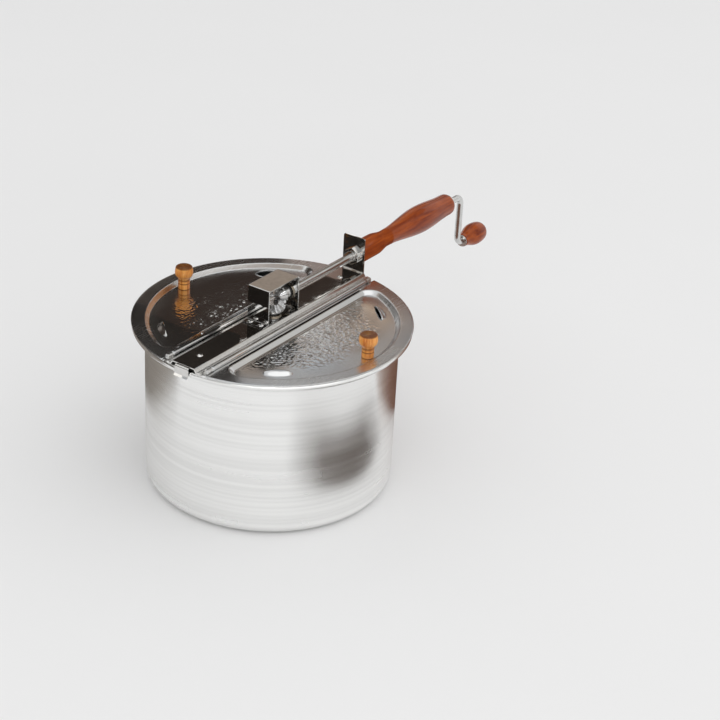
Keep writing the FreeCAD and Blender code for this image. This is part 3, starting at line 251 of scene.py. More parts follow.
class Look:
    """A node material built round one Principled shader, in the object's own coordinates."""

    def __init__(self, name, color, metallic, roughness, **constants):
        self.material = bpy.data.materials.new(name)
        self.material.use_nodes = True
        self.tree = self.material.node_tree
        self.shader = self.tree.nodes["Principled BSDF"]
        self.shader.inputs["Base Color"].default_value = (*color, 1)
        self.shader.inputs["Metallic"].default_value = metallic
        self.shader.inputs["Roughness"].default_value = roughness
        for socket, value in constants.items():
            self.shader.inputs[socket.replace("_", " ")].default_value = value
        self.place = self.add("ShaderNodeTexCoord").outputs["Object"]

    def add(self, kind, settings=None, inputs=None):
        """A new node with its settings, and a value or another node's socket for each input."""
        node = self.tree.nodes.new(kind)
        for key, value in (settings or {}).items():
            setattr(node, key, value)
        for key, value in (inputs or {}).items():
            self.feed(node.inputs[key], value)
        return node

    def feed(self, socket, value):
        """Links the socket to another node's socket, or sets it to a plain value."""
        if isinstance(value, bpy.types.NodeSocket):
            self.tree.links.new(value, socket)
        else:
            socket.default_value = value

    def math(self, operation, first, second=0.0, third=0.0):
        """The result of one arithmetic step."""
        node = self.add("ShaderNodeMath", {"operation": operation})
        for socket, value in zip(node.inputs, (first, second, third)):
            self.feed(socket, value)
        return node.outputs[0]

    def scaled(self, x, y, z):
        """The coordinates stretched by three factors, in steps per metre."""
        inputs = {0: self.place, 1: (x, y, z)}
        return self.add("ShaderNodeVectorMath", {"operation": "MULTIPLY"}, inputs).outputs[0]

    def noise(self, vector, scale=1.0, detail=3.0, distortion=0.0):
        """Cloudy noise about one half; scale is in steps per unit of the coordinates."""
        inputs = {"Vector": vector, "Scale": scale, "Detail": detail, "Distortion": distortion}
        return self.add("ShaderNodeTexNoise", None, inputs).outputs["Fac"]

    def remap(self, value, low, high, start=0.3, end=0.7):
        """A ramp from low, where the value is start or less, to high, where it is end or more."""
        inputs = {0: value, 1: start, 2: end, 3: low, 4: high}
        return self.add("ShaderNodeMapRange", None, inputs).outputs[0]

    def blend(self, factor, first, second):
        """Mixes two colours, each a triple or a socket."""
        node = self.add("ShaderNodeMix", {"data_type": "RGBA"})
        self.feed(node.inputs[0], factor)
        for socket, color in ((node.inputs[6], first), (node.inputs[7], second)):
            self.feed(socket, color if isinstance(color, bpy.types.NodeSocket) else (*color, 1))
        return node.outputs[2]

    def part(self, axis):
        """One of the object's own coordinates: 0 for X, 1 for Y, 2 for Z."""
        return self.add("ShaderNodeSeparateXYZ", None, {0: self.place}).outputs[axis]

    def radius(self):
        """Distance from the Z axis."""
        flat = self.scaled(1.0, 1.0, 0.0)
        return self.add("ShaderNodeVectorMath", {"operation": "LENGTH"}, {0: flat}).outputs["Value"]

    def rings(self, per_metre, drift):
        """Coordinates for rings round the Z axis, which drift slowly across the object."""
        outwards = self.math("MULTIPLY", self.radius(), per_metre)
        inputs = {0: self.math("MULTIPLY_ADD", self.part(0), drift, outwards),
                  1: self.math("MULTIPLY", self.part(2), per_metre),
                  2: self.math("MULTIPLY", self.part(1), drift)}
        return self.add("ShaderNodeCombineXYZ", None, inputs).outputs[0]

    def bump(self, height, distance, after=None):
        """A surface raised by up to a distance in millimetres, over another bump if given."""
        inputs = {"Height": height, "Distance": distance * MM, "Strength": 1.0}
        if after:
            inputs["Normal"] = after
        return self.add("ShaderNodeBump", None, inputs).outputs[0]

    def use(self, **sockets):
        """Feeds the shader's sockets by name, and gives the finished material."""
        for socket, value in sockets.items():
            self.feed(self.shader.inputs[socket.replace("_", " ")], value)
        return self.material


# ---------------------------------------- materials

# Where a finish changes, in metres: from the pot's axis, and from the bar's middle.
SATIN_RIM = (0.088, 0.104)
RAIL_FOOT = (0.0118, 0.0132)

# Steps along the grain of wood, as a share of the steps across it.
GRAIN_STRETCH = 0.09

# Heights on a lid knob, in millimetres: its groove and its waist from the bottom, and where
# end grain starts and is full, below the top.
NECK_GROOVE = 5.3
KNOB_WAIST = 8.6
END_GRAIN_START = 1.3
END_GRAIN_FULL = 0.4

# Painted shade on a lid knob, as dark rings in its groove, at its waist under the head and at its foot:
# height, half width and darkness.
PAINTED_SHADE_RINGS = ((NECK_GROOVE, 0.9, 0.8), (KNOB_WAIST, 1.6, 0.7), (0.0, 0.8, 0.7))


def pot_aluminium():
    """Spun aluminium: fine rings round the wall that stretch each reflection upright."""
    look = Look("spun_aluminium", (0.9, 0.9, 0.89), 1.0, 0.3, Anisotropic=0.8,
                Anisotropic_Rotation=0.25)
    lines = look.noise(look.rings(per_metre=340.0, drift=3.0), detail=0.0)
    bands = look.noise(look.rings(per_metre=120.0, drift=3.0), detail=1.0)
    clouds = look.noise(look.place, scale=18.0)
    color = look.blend(look.remap(lines, 0.0, 1.0), (0.88, 0.88, 0.87), (0.96, 0.96, 0.95))
    rough = look.math("ADD", look.remap(bands, 0.20, 0.25), look.remap(clouds, 0.0, 0.04))
    tangent = look.add("ShaderNodeTangent", {"direction_type": "RADIAL", "axis": "Z"}).outputs[0]
    swells = look.noise(look.rings(per_metre=45.0, drift=9.0), detail=0.0)
    return look.use(Base_Color=color, Roughness=rough, Tangent=tangent,
                    Normal=look.bump(swells, 0.02))


def lid_aluminium():
    """Pressed aluminium sheet: satin towards the rim, with soft rolling lines and small marks."""
    look = Look("pressed_aluminium", (0.74, 0.75, 0.76), 1.0, 0.25)
    lines = look.noise(look.scaled(60.0, 1500.0, 60.0), detail=2.0)
    clouds = look.noise(look.place, scale=22.0)
    color = look.blend(look.remap(clouds, 0.0, 1.0), (0.70, 0.71, 0.72), (0.78, 0.78, 0.77))
    satin = look.remap(look.radius(), 0.0, 0.12, *SATIN_RIM)
    rough = look.math("ADD", look.math("ADD", look.remap(clouds, 0.10, 0.15), satin),
                      look.remap(lines, 0.0, 0.03))
    marks = look.noise(look.place, scale=600.0, detail=1.0)
    normal = look.bump(marks, 0.004, after=look.bump(lines, 0.003))
    return look.use(Base_Color=color, Roughness=rough, Normal=normal)


def bright_steel():
    """Bright plating over sheet that isn't quite flat, satin beside the bar's floor."""
    look = Look("bright_plating", (0.72, 0.71, 0.69), 1.0, 0.08)
    waves = look.noise(look.place, scale=70.0, detail=1.0)
    haze = look.noise(look.place, scale=240.0, detail=3.0)
    plated = look.blend(look.remap(haze, 0.0, 1.0), (0.68, 0.67, 0.65), (0.77, 0.76, 0.74))
    rail = look.remap(look.math("ABSOLUTE", look.part(1)), 0.0, 1.0, *RAIL_FOOT)
    lines = look.noise(look.scaled(5.0, 900.0, 900.0), detail=2.0)
    drawn = look.blend(look.remap(lines, 0.0, 1.0, 0.38, 0.62),
                       (0.72, 0.71, 0.69), (0.92, 0.91, 0.89))
    rough = look.math("MULTIPLY_ADD", rail, 0.24, look.remap(haze, 0.025, 0.06))
    return look.use(Base_Color=look.blend(rail, plated, drawn), Roughness=rough,
                    Normal=look.bump(waves, 0.08))


def plain_steel():
    """Bright drawn steel with fine lengthwise lines."""
    look = Look("drawn_steel", (0.66, 0.66, 0.65), 1.0, 0.18)
    lines = look.noise(look.scaled(60.0, 2200.0, 2200.0), detail=2.0)
    marks = look.noise(look.place, scale=160.0)
    color = look.blend(look.remap(marks, 0.0, 1.0), (0.60, 0.60, 0.59), (0.72, 0.72, 0.71))
    return look.use(Base_Color=color, Roughness=look.remap(lines, 0.12, 0.26),
                    Normal=look.bump(lines, 0.01))


def gear_metal():
    """Cast gears with a bright plate over a slightly grainy skin."""
    look = Look("plated_casting", (0.70, 0.70, 0.70), 1.0, 0.2)
    grain = look.noise(look.place, scale=1400.0, detail=3.0)
    pools = look.noise(look.place, scale=300.0)
    color = look.blend(look.remap(pools, 0.0, 1.0), (0.58, 0.58, 0.58), (0.80, 0.80, 0.80))
    return look.use(Base_Color=color, Roughness=look.remap(pools, 0.12, 0.3),
                    Normal=look.bump(grain, 0.03))


def bush_brass():
    """Turned brass, dulled by oil."""
    look = Look("turned_brass", (0.36, 0.32, 0.26), 1.0, 0.22)
    marks = look.noise(look.place, scale=900.0, detail=2.0)
    color = look.blend(look.remap(marks, 0.0, 1.0), (0.30, 0.26, 0.21), (0.42, 0.37, 0.30))
    return look.use(Base_Color=color, Roughness=look.remap(marks, 0.16, 0.3),
                    Normal=look.bump(marks, 0.01))


def dark_washer():
    """Matte dark fibre."""
    look = Look("dark_fibre", (0.03, 0.03, 0.03), 0.0, 0.6)
    fibres = look.noise(look.place, scale=2500.0, detail=2.0)
    color = look.blend(look.remap(fibres, 0.0, 1.0), (0.018, 0.018, 0.018), (0.05, 0.048, 0.045))
    return look.use(Base_Color=color, Roughness=look.remap(fibres, 0.5, 0.75),
                    Normal=look.bump(fibres, 0.03))


def knob_end_grain_and_painted_shade(look):
    """How far a lid knob shows its dark end grain on its top, and painted shade in its groove, at its
    waist and at its foot.
    """
    level = look.part(2)
    marks = look.remap(level, 0.0, 0.85, (knob_high.z - END_GRAIN_START) * MM,
                       (knob_high.z - END_GRAIN_FULL) * MM)
    for height, half, darkness in PAINTED_SHADE_RINGS:
        away = look.math("ABSOLUTE", look.math("SUBTRACT", level, (knob_low.z + height) * MM))
        marks = look.math("MAXIMUM", marks, look.remap(away, darkness, 0.0, 0.0, half * MM))
    return marks


def lacquered_wood(name, along, dark, middle, light, end_grain_and_shade=None):
    """Turned wood under clear gloss lacquer; along is the axis that the grain follows."""
    look = Look(name, middle, 0.0, 0.4, Coat_Weight=0.6, Coat_Roughness=0.06, Coat_IOR=1.45,
                Specular_IOR_Level=0.1)
    stretch = [GRAIN_STRETCH if axis == along else 1.0 for axis in "XYZ"]

    def grained(steps, **settings):
        return look.noise(look.scaled(*[steps * factor for factor in stretch]), **settings)

    fibre = grained(1500.0)
    figure = grained(190.0, detail=4.0, distortion=0.6)
    pores = grained(3600.0, detail=1.0)
    broad = look.blend(look.remap(figure, 0.0, 1.0, 0.35, 0.65), dark, light)
    tinted = look.blend(look.remap(fibre, 0.0, 0.55), broad, middle)
    color = look.blend(look.remap(pores, 0.0, 0.35, 0.6, 0.75), tinted, dark)
    # A knob's dark end grain on its top, and painted shade in its groove, at its waist and at its foot.
    if end_grain_and_shade:
        color = look.blend(knob_end_grain_and_painted_shade(look), color, end_grain_and_shade)
    return look.use(Base_Color=color, Roughness=look.remap(fibre, 0.32, 0.5),
                    Normal=look.bump(fibre, 0.01))


LOOKS = {
    "pot_aluminium": pot_aluminium(),
    "lid_aluminium": lid_aluminium(),
    "bright_steel": bright_steel(),
    "plain_steel": plain_steel(),
    "gear_metal": gear_metal(),
    "bush_brass": bush_brass(),
    "dark_washer": dark_washer(),
    # The handle's and crank knob's wood: a deeper red stain than the lid knobs, made darker still with
    # painted shade.
    "handle_wood": lacquered_wood("handle_lacquer_with_painted_shade", "X", (0.13, 0.015, 0.002), (0.25, 0.038, 0.003),
                                  (0.38, 0.073, 0.005)),
    # The last colour is the knobs' dark end grain, and also their painted shade.
    "knob_wood": lacquered_wood("knob_lacquer", "Z", (0.42, 0.10, 0.016), (0.84, 0.33, 0.065),
                                (0.97, 0.50, 0.14), (0.06, 0.014, 0.004)),
}


# ---------------------------------------- pot


def make_pot():
    """Spun pot: flat bottom, rounded corner, straight wall, flange and rolled rim."""
    curl_x, curl_z = rim_radius - RIM_CURL, pot_height - RIM_CURL
    flange_end = curl_x - RIM_CURL
    under = pot_height - WALL
    outside = rounded([(0, 0), (wall_radius, 0, BASE_CORNER), (wall_radius, under, RIM_NECK_BEND),
                       (flange_end, under)], pieces=12)
    curl = arc(curl_x, curl_z, RIM_CURL, 180, 450, pieces=24)
    inside = rounded([(flange_end, pot_height), (inner_radius, pot_height, RIM_THROAT_BEND),
                      (inner_radius, WALL, BASE_CORNER - WALL), (AXIS_HOLE, WALL)], pieces=12)
    outline = [Vector((AXIS_HOLE, 0))] + outside[1:] + curl + inside
    make_piece("pot_shell", [lathe(outline, POT_SEGMENTS)], "pot", "pot_aluminium", ["pot"])


# ---------------------------------------- half lids

# The notch for the hinge, the recess and the lid's edge.
STRIP_WIDTH = 6.5
NOTCH_MARGIN = 0.55
RECESS_PLAY = 1.3
RECESS_CORNER = 12.0
RECESS_DEPTH = 3.5
STEP_RUN = 4.0
STEP_BEND = 2.6
ABOVE_STEP = 2.0
BELOW_STEP = 2.5
EDGE_DROP = 0.4
EDGE_BAND = 2.0
LID_CREASE = 60.0

# The rounded edge: distance inside it, and the share of the drop that is left there.
EDGE_ROUNDING = ((0.0, 1.0), (0.25, 0.6), (0.6, 0.25), (1.1, 0.05), (1.8, 0.0), (3.5, 0.0))

# The roll round the hinge wire, and the bar's knuckles at its two ends.
ROLL_TURN = 302.0
ROLL_LEAD = 0.9
PIN_HEAD = 0.8
KNUCKLE_PLAY = 0.5
KNUCKLE_LENGTH = 5.0

# Two hooded vents, each at an angle below the hinge line.
VENT_ANGLE = 40.0
VENT_HALF = 12.0
VENT_REACH = 6.0
VENT_RISE = 3.8
VENT_MARGIN = 5.6
HOOD_CURVE = 1.25

# The hammered ripple: a coarse noise that drifts, with a finer one over it.
RIPPLE_SIZE = 2.5
RIPPLE_HEIGHT = 0.30
FINE_RATIO = 1.9
FINE_SHARE = 0.4
DRIFT = 1.5
DRIFT_SIZE = 19.0

# Distances at which the ripple starts and is full, from what it stays clear of.
RIM_FADE = (6.0, 34.0)
STRIP_FADE = (0.5, 7.0)
KNOB_FADE = (12.0, 26.0)
VENT_FADE = (9.0, 20.0)

# How much longer the clear patch round a vent is along its slit.
VENT_SPREAD = 1.6

# How finely the lids are divided.
STRAIGHT_STEPS = 200
CORNER_STEPS = 20
ROUND_STEPS = 260
ROLL_STEPS = 24
FOOT_STEPS = 32
SLIT_STEPS = 24
HOOD_STEPS = 12
PANEL_SPACING = 0.85
ROW_RATIO = 0.87

knuckle_end = pin_high.x - PIN_HEAD
knuckle_start = knuckle_end - KNUCKLE_LENGTH
curl_half = knuckle_start - KNUCKLE_PLAY
recess_radius = inner_radius + RECESS_PLAY
recess_edge = hinge_y + STRIP_WIDTH
notch_y = hinge_y + HINGE_BORE + SHEET + NOTCH_MARGIN
panel_radius = recess_radius - STEP_RUN
vent_radius = panel_radius - VENT_MARGIN - VENT_REACH

# Centre of the recess's right corner, and the angle at which its round side starts.
corner_y = -(recess_edge + RECESS_CORNER)
corner_x = math.sqrt((recess_radius - RECESS_CORNER) ** 2 - corner_y ** 2)
corner_turn = math.atan2(corner_y, corner_x)


def straight_side(y):
    """Points of a loop's straight side, from its left corner to its right one."""
    return [(corner_x * (2 * step / STRAIGHT_STEPS - 1), y) for step in range(STRAIGHT_STEPS)]


def round_side(radius):
    """Points of a loop's round side, from its right corner to its left one."""
    points = []
    for step in range(ROUND_STEPS):
        angle = corner_turn - (math.pi + 2 * corner_turn) * step / ROUND_STEPS
        points.append((radius * math.cos(angle), radius * math.sin(angle)))
    return points


def recess_corner(side, radius, first):
    """Points of one rounded corner of the recess, from its first angle on."""
    points = []
    for step in range(CORNER_STEPS):
        angle = first + (corner_turn - math.pi / 2) * step / CORNER_STEPS
        points.append((side * corner_x + radius * math.cos(angle), corner_y + radius * math.sin(angle)))
    return points


def recess_loop(inset):
    """The recess's outline at a distance inside its upper edge, as (x, y) points."""
    corner = RECESS_CORNER - inset
    return (straight_side(-(recess_edge + inset)) + recess_corner(1, corner, math.pi / 2)
            + round_side(recess_radius - inset) + recess_corner(-1, corner, -math.pi - corner_turn))


def corner_path(share, inset):
    """A point of the lid's edge from its straight side round the right corner."""
    bend, tip = 0.35, 0.6  # shares of the way at the roll's end and at the lid's tip
    radius = lid_radius - inset
    edge_y = notch_y + inset
    tip_x = math.sqrt(radius ** 2 - edge_y ** 2)
    if share <= bend:
        return (corner_x + (curl_half - corner_x) * share / bend, -edge_y)
    if share <= tip:
        return (curl_half + (tip_x - curl_half) * (share - bend) / (tip - bend), -edge_y)
    first = math.atan2(-edge_y, tip_x)
    angle = first + (corner_turn - first) * (share - tip) / (1 - tip)
    return (radius * math.cos(angle), radius * math.sin(angle))


def edge_loop(inset):
    """The lid's outer edge at a distance inside it, point for point with recess_loop."""
    right = [corner_path(step / CORNER_STEPS, inset) for step in range(CORNER_STEPS)]
    left = [corner_path(1 - step / CORNER_STEPS, inset) for step in range(CORNER_STEPS)]
    return (straight_side(-(notch_y + inset)) + right + round_side(lid_radius - inset)
            + [(-x, y) for x, y in left])


def vent_direction(side):
    """The way outwards through a vent; side is 1 for the right one, -1 for the left one."""
    angle = math.radians(VENT_ANGLE)
    return side * math.cos(angle), -math.sin(angle)


def in_vent(side, x, y):
    """A point in a vent's own axes: outwards from the slit, and along it."""
    out_x, out_y = vent_direction(side)
    return x * out_x + y * out_y - vent_radius, -x * out_y + y * out_x


def from_vent(side, outwards, along):
    """The (x, y) point that in_vent gives as outwards and along."""
    out_x, out_y = vent_direction(side)
    reach = vent_radius + outwards
    return (reach * out_x - along * out_y, reach * out_y + along * out_x)


def vent_feet():
    """The foot of a hood: angles of its half ellipse from one end of the slit to the other."""
    return [math.radians(-90 + 180 * step / FOOT_STEPS) for step in range(FOOT_STEPS + 1)]


def vent_outline(side, start):
    """A vent's foot and slit as one closed chain: its points, and edges that count from start."""
    points = []
    for angle in vent_feet():
        points.append(Vector(from_vent(side, VENT_REACH * math.cos(angle), VENT_HALF * math.sin(angle))))
    for step in range(1, SLIT_STEPS):
        points.append(Vector(from_vent(side, 0, VENT_HALF * (1 - 2 * step / SLIT_STEPS))))
    count = len(points)
    return points, [(start + k, start + (k + 1) % count) for k in range(count)]


def fade(value, start, end):
    """A smooth rise from 0 at the start to 1 at the end."""
    share = min(max((value - start) / (end - start), 0.0), 1.0)
    return share * share * (3 - 2 * share)


def ripple(x, y, seed):
    """Height of the hammered ripple in the middle of the panel."""
    inside = fade(panel_radius - math.hypot(x, y), *RIM_FADE)
    inside *= fade(-y - recess_edge - STEP_RUN, *STRIP_FADE)
    inside *= fade(math.hypot(x, y + knob_y), *KNOB_FADE)
    for side in (1, -1):
        outwards, along = in_vent(side, x, y)
        inside *= fade(math.hypot(outwards, along / VENT_SPREAD), *VENT_FADE)
    if inside <= 0:
        return 0.0
    drift = DRIFT * noise.noise(Vector((x / DRIFT_SIZE, y / DRIFT_SIZE, seed)))
    x, y = x / RIPPLE_SIZE, y / RIPPLE_SIZE
    coarse = noise.noise(Vector((x + drift, y - drift, seed + 5)))
    fine = noise.noise(Vector((x * FINE_RATIO, y * FINE_RATIO, seed + 9)))
    return RIPPLE_HEIGHT * inside * (coarse + FINE_SHARE * fine)


def inside_recess(x, y, radius, straight, margin=0.0):
    """Whether a point lies on the panel, at least a margin inside its outline."""
    if math.hypot(x, y) > radius - margin or -y < straight + margin:
        return False
    if abs(x) > corner_x and math.atan2(y, abs(x)) > corner_turn:
        return math.hypot(abs(x) - corner_x, y - corner_y) < -corner_y - straight - margin
    return True


def in_hood(x, y, margin=0.0):
    """Whether a point lies under a hood, or less than a margin from one."""
    for side in (1, -1):
        outwards, along = in_vent(side, x, y)
        reach, half = VENT_REACH + margin, VENT_HALF + margin
        if outwards > -margin and (max(outwards, 0) / reach) ** 2 + (along / half) ** 2 < 1:
            return True
    return False


def panel_points(radius, straight):
    """Points in staggered rows over the panel, clear of its outline and its hoods."""
    clear = PANEL_SPACING / 2
    points = []
    row = 0
    y = -straight - PANEL_SPACING / 2
    while y > -radius:
        half = math.sqrt(radius ** 2 - y ** 2)
        x = -half + (row % 2) * PANEL_SPACING / 2
        while x < half:
            if inside_recess(x, y, radius, straight, clear) and not in_hood(x, y, clear):
                points.append(Vector((x, y)))
            x += PANEL_SPACING
        y -= PANEL_SPACING * ROW_RATIO
        row += 1
    return points


def panel_mesh(boundary, level, seed):
    """Triangles over the sunk panel, open where a hood stands, with the ripple pressed in."""
    radius = math.hypot(*boundary[STRAIGHT_STEPS + CORNER_STEPS])
    straight = -boundary[0][1]
    points = [Vector(point) for point in boundary]
    edges = [(k, (k + 1) % len(boundary)) for k in range(len(boundary))]
    for side in (1, -1):
        vent_points, vent_edges = vent_outline(side, len(points))
        points += vent_points
        edges += vent_edges
    points += panel_points(radius, straight)
    found = geometry.delaunay_2d_cdt(points, edges, [], 0, 1e-5)
    vertices = [(p.x, p.y, level + ripple(p.x, p.y, seed)) for p in found[0]]
    faces = []
    for face in found[2]:
        middle = sum((found[0][k] for k in face), Vector((0, 0))) / len(face)
        if inside_recess(middle.x, middle.y, radius, straight) and not in_hood(middle.x, middle.y):
            faces.append(tuple(face))
    return vertices, faces


def hood_mesh(side, level):
    """The raised metal over a vent, from its foot up to the lip over the slit."""
    vertices = []
    for angle in vent_feet():
        reach = VENT_REACH * math.cos(angle)
        along = VENT_HALF * math.sin(angle)
        for step in range(HOOD_STEPS + 1):
            share = step / HOOD_STEPS
            rise = VENT_RISE * math.cos(angle) * math.sin(math.pi / 2 * share ** HOOD_CURVE)
            x, y = from_vent(side, reach * (1 - share), along)
            vertices.append((x, y, level + rise))
    return vertices, quads(FOOT_STEPS + 1, HOOD_STEPS + 1, closed=False)


def loops_mesh(loops):
    """Faces between closed loops of equally many points."""
    vertices = [point for loop in loops for point in loop]
    return vertices, quads(len(loops), len(loops[0]))


def roll_mesh(edge):
    """The straight edge rolled up round the hinge wire."""
    near = 0.01
    stations = sorted({round(x, 4) for x, y in edge
                       if y > -notch_y - near and abs(x) < curl_half + near})
    section = [(-notch_y, lid_level), (-hinge_y - ROLL_LEAD, lid_level)]
    for step in range(ROLL_STEPS + 1):
        angle = math.radians(ROLL_TURN * step / ROLL_STEPS)
        section.append((-hinge_y + HINGE_BORE * math.sin(angle),
                        lid_level + HINGE_BORE * (1 - math.cos(angle))))
    vertices = [(x, y, z) for x in stations for y, z in section]
    return vertices, quads(len(stations), len(section), closed=False)


def lid_loops():
    """Loops over the lid from its rounded edge down to the panel, and the panel's outline."""
    loops = []
    for inset, share in EDGE_ROUNDING:
        loop = []
        for x, y in edge_loop(inset):
            at_edge = math.hypot(x, y) > lid_radius - EDGE_BAND
            loop.append((x, y, lid_level - EDGE_DROP * share * at_edge))
        loops.append(loop)
    profile = rounded([(-ABOVE_STEP, 0), (0, 0, STEP_BEND), (STEP_RUN, -RECESS_DEPTH, STEP_BEND),
                       (STEP_RUN + BELOW_STEP, -RECESS_DEPTH)], pieces=7)
    for inset, height in profile:
        loops.append([(x, y, lid_level + height) for x, y in recess_loop(inset)])
    return loops, recess_loop(profile[-1].x)


def make_lid(word, half_turns, seed):
    """A pressed half lid: rounded rim, sloping step, rippled panel, hooded vents, rolled edge."""
    loops, boundary = lid_loops()
    panel_level = lid_level - RECESS_DEPTH
    parts = [loops_mesh(loops), panel_mesh(boundary, panel_level, seed), roll_mesh(edge_loop(0.0))]
    parts += [hood_mesh(side, panel_level) for side in (1, -1)]
    turn = Matrix.Rotation(math.pi * half_turns, 3, "Z")
    parts = [([turn @ Vector(v) for v in vertices], faces) for vertices, faces in parts]
    lid = make_piece(word + "_lid_sheet", parts, word + "_lid", "lid_aluminium",
                     [word + "_lid"], crease=LID_CREASE)
    upright = sum(face.normal.z * face.area for face in lid.data.polygons)
    if upright < 0:
        lid.data.flip_normals()
    skin = lid.modifiers.new("sheet", "SOLIDIFY")
    skin.thickness = SHEET * MM
    skin.offset = -1
    flatten(lid, weight=50)


# ---------------------------------------- bar and housing

# The bar's section, from its middle outwards, and its bends.
FLOOR_HALF = 11.5
FLOOR_RISE = floor_level - seat_level
SHOULDER_RUN = 2.0
RIB_OFFSET = 15.7
RIB_RADIUS = 1.1
FLANGE_HALF = 17.6
FLANGE_LIP = 0.5
FLOOR_BEND = 1.5
SHOULDER_BEND = 0.8
FLANGE_BEND = 0.3
UNDER_BEND = 0.5
KNUCKLE_ROOT = 1.0
BAR_EDGE = 0.12

# The plate at the bar's handle end, and the fillet at its foot.
PLATE_CORNER = 2.0
FILLET_BEND = 1.5
FILLET_INSET = 1.4

# The housing over the gears.
HOUSING_WALL = 21.0
HOUSING_FOOT_BEND = 0.7
HOUSING_TOP_BEND = 1.9
HOUSING_EDGE = 0.15


def bar_section():
    """The bar's section as seen along it: floor, sloping walls, ribs and flanges."""
    foot = FLOOR_HALF + SHOULDER_RUN
    rib_start = RIB_OFFSET - RIB_RADIUS - 0.01
    rib_end = RIB_OFFSET + RIB_RADIUS + 0.05
    top = rounded([(0, FLOOR_RISE), (FLOOR_HALF, FLOOR_RISE, FLOOR_BEND),
                   (foot, SHEET, SHOULDER_BEND), (rib_start, SHEET)])
    top += arc(RIB_OFFSET, SHEET, RIB_RADIUS, 180, 0, pieces=12)
    top += rounded([(rib_end, SHEET), (FLANGE_HALF, SHEET, FLANGE_BEND),
                    (FLANGE_HALF, FLANGE_LIP)], pieces=4)
    under = rounded([(FLANGE_HALF, 0), (foot - SHEET / 2, 0, UNDER_BEND),
                     (FLOOR_HALF - SHEET / 2, FLOOR_RISE - SHEET, UNDER_BEND),
                     (0, FLOOR_RISE - SHEET)], pieces=4)
    half = top + under
    other = [Vector((-p.x, p.y)) for p in half[::-1] if p.x > 0.001]
    return [Vector((p.x, p.y + seat_level)) for p in half + other]


def knuckle_section(side):
    """A hinge knuckle of the bar: a tongue of the flange rolled round the wire."""
    path = [Vector((FLANGE_HALF - KNUCKLE_ROOT, SHEET)), Vector((hinge_y, SHEET))]
    centre = SHEET + HINGE_BORE
    for step in range(1, ROLL_STEPS + 1):
        angle = math.radians(ROLL_TURN * step / ROLL_STEPS)
        across, up = HINGE_BORE * math.sin(angle), HINGE_BORE * math.cos(angle)
        path.append(Vector((hinge_y + across, centre - up)))
    outline = sheet_outline(path, SHEET)
    return [Vector((side * p.x, p.y + seat_level)) for p in outline]


def end_plate():
    """The upright plate that carries the handle, with a rounded foot and upper corners."""
    foot, top = floor_level - SHEET, bar_high.z
    inner = bar_half - SHEET
    outline = rounded([(-FLOOR_HALF, foot), (FLOOR_HALF, foot), (FLOOR_HALF, top, PLATE_CORNER),
                       (-FLOOR_HALF, top, PLATE_CORNER)], pieces=8, closed=True)
    plate = prism(outline, [inner, bar_half], along_x)
    bend = arc(inner - FILLET_BEND, floor_level + FILLET_BEND, FILLET_BEND, 0, -90, pieces=8)
    fillet = [(inner, floor_level)] + [tuple(p) for p in bend]
    reach = FLOOR_HALF - FILLET_INSET
    return [plate, prism(fillet, [-reach, reach], along_y)]


def make_bar():
    """Pressed bar with ribs, four knuckles for the hinge wires, and the handle's plate."""
    parts = [prism(bar_section(), [-bar_half, bar_half], along_x)]
    for side in (1, -1):
        for end in (1, -1):
            stations = sorted([end * knuckle_start, end * knuckle_end])
            parts.append(prism(knuckle_section(side), stations, along_x))
    bar = make_piece("bar_sheet", parts + end_plate(), "bridge", "bright_steel", ["bridge_bar"])
    soften(bar, BAR_EDGE)


def make_housing():
    """Sheet bent to an inverted U over the gears, with a foot at each end."""
    half, top = housing_high.x, housing_high.z
    foot = floor_level + SHEET
    path = rounded([(-half, foot), (-HOUSING_WALL, foot, HOUSING_FOOT_BEND),
                    (-HOUSING_WALL, top, HOUSING_TOP_BEND), (HOUSING_WALL, top, HOUSING_TOP_BEND),
                    (HOUSING_WALL, foot, HOUSING_FOOT_BEND), (half, foot)], pieces=7)
    outline = sheet_outline(path, SHEET)
    parts = [prism(outline, [housing_low.y, housing_high.y], along_y)]
    housing = make_piece("housing_sheet", parts, "bridge", "bright_steel", ["gear_housing"])
    soften(housing, HOUSING_EDGE)


# ---------------------------------------- turned wood

# The handle's outline: points are (radius, distance from its foot).
HANDLE_BORE = 5.05
HANDLE_SHOULDER = (10.0, 28.0)
HANDLE_WAIST = (7.6, 46.0)
HANDLE_PALM = (12.8, 106.0)
HANDLE_TAIL = (10.4, 148.0)
HANDLE_END = 10.0
HANDLE_FOOT_BEND = 1.2
HANDLE_END_BEND = 4.0
HANDLE_SEGMENTS = 72

# The crank knob's outline in the same way, with a dome that is fuller than round.
GRIP_BORE = 3.225
GRIP_NECK = (6.5, 1.5)
GRIP_PALM = (10.8, 21.0)
GRIP_FOOT_BEND = 0.6
GRIP_CROWN = 7.0
GRIP_SHOULDER = 3.8
GRIP_FULLNESS = 0.8
GRIP_DOME = 12.4
GRIP_END = 6.6

# Radii of a lid knob. Its corners are (radius, height from its foot, bend).
KNOB_NECK = 5.25
KNOB_HEAD = 8.0
KNOB_TOP = 6.4
KNOB_SEGMENTS = 64


def swerve(start, end, pieces=14):
    """A smooth wave between two (radius, height) points, upright at both."""
    points = []
    for step in range(pieces + 1):
        share = step / pieces
        wave = (1 - math.cos(math.pi * share)) / 2
        radius = start[0] + (end[0] - start[0]) * wave
        points.append(Vector((radius, start[1] + (end[1] - start[1]) * share)))
    return points


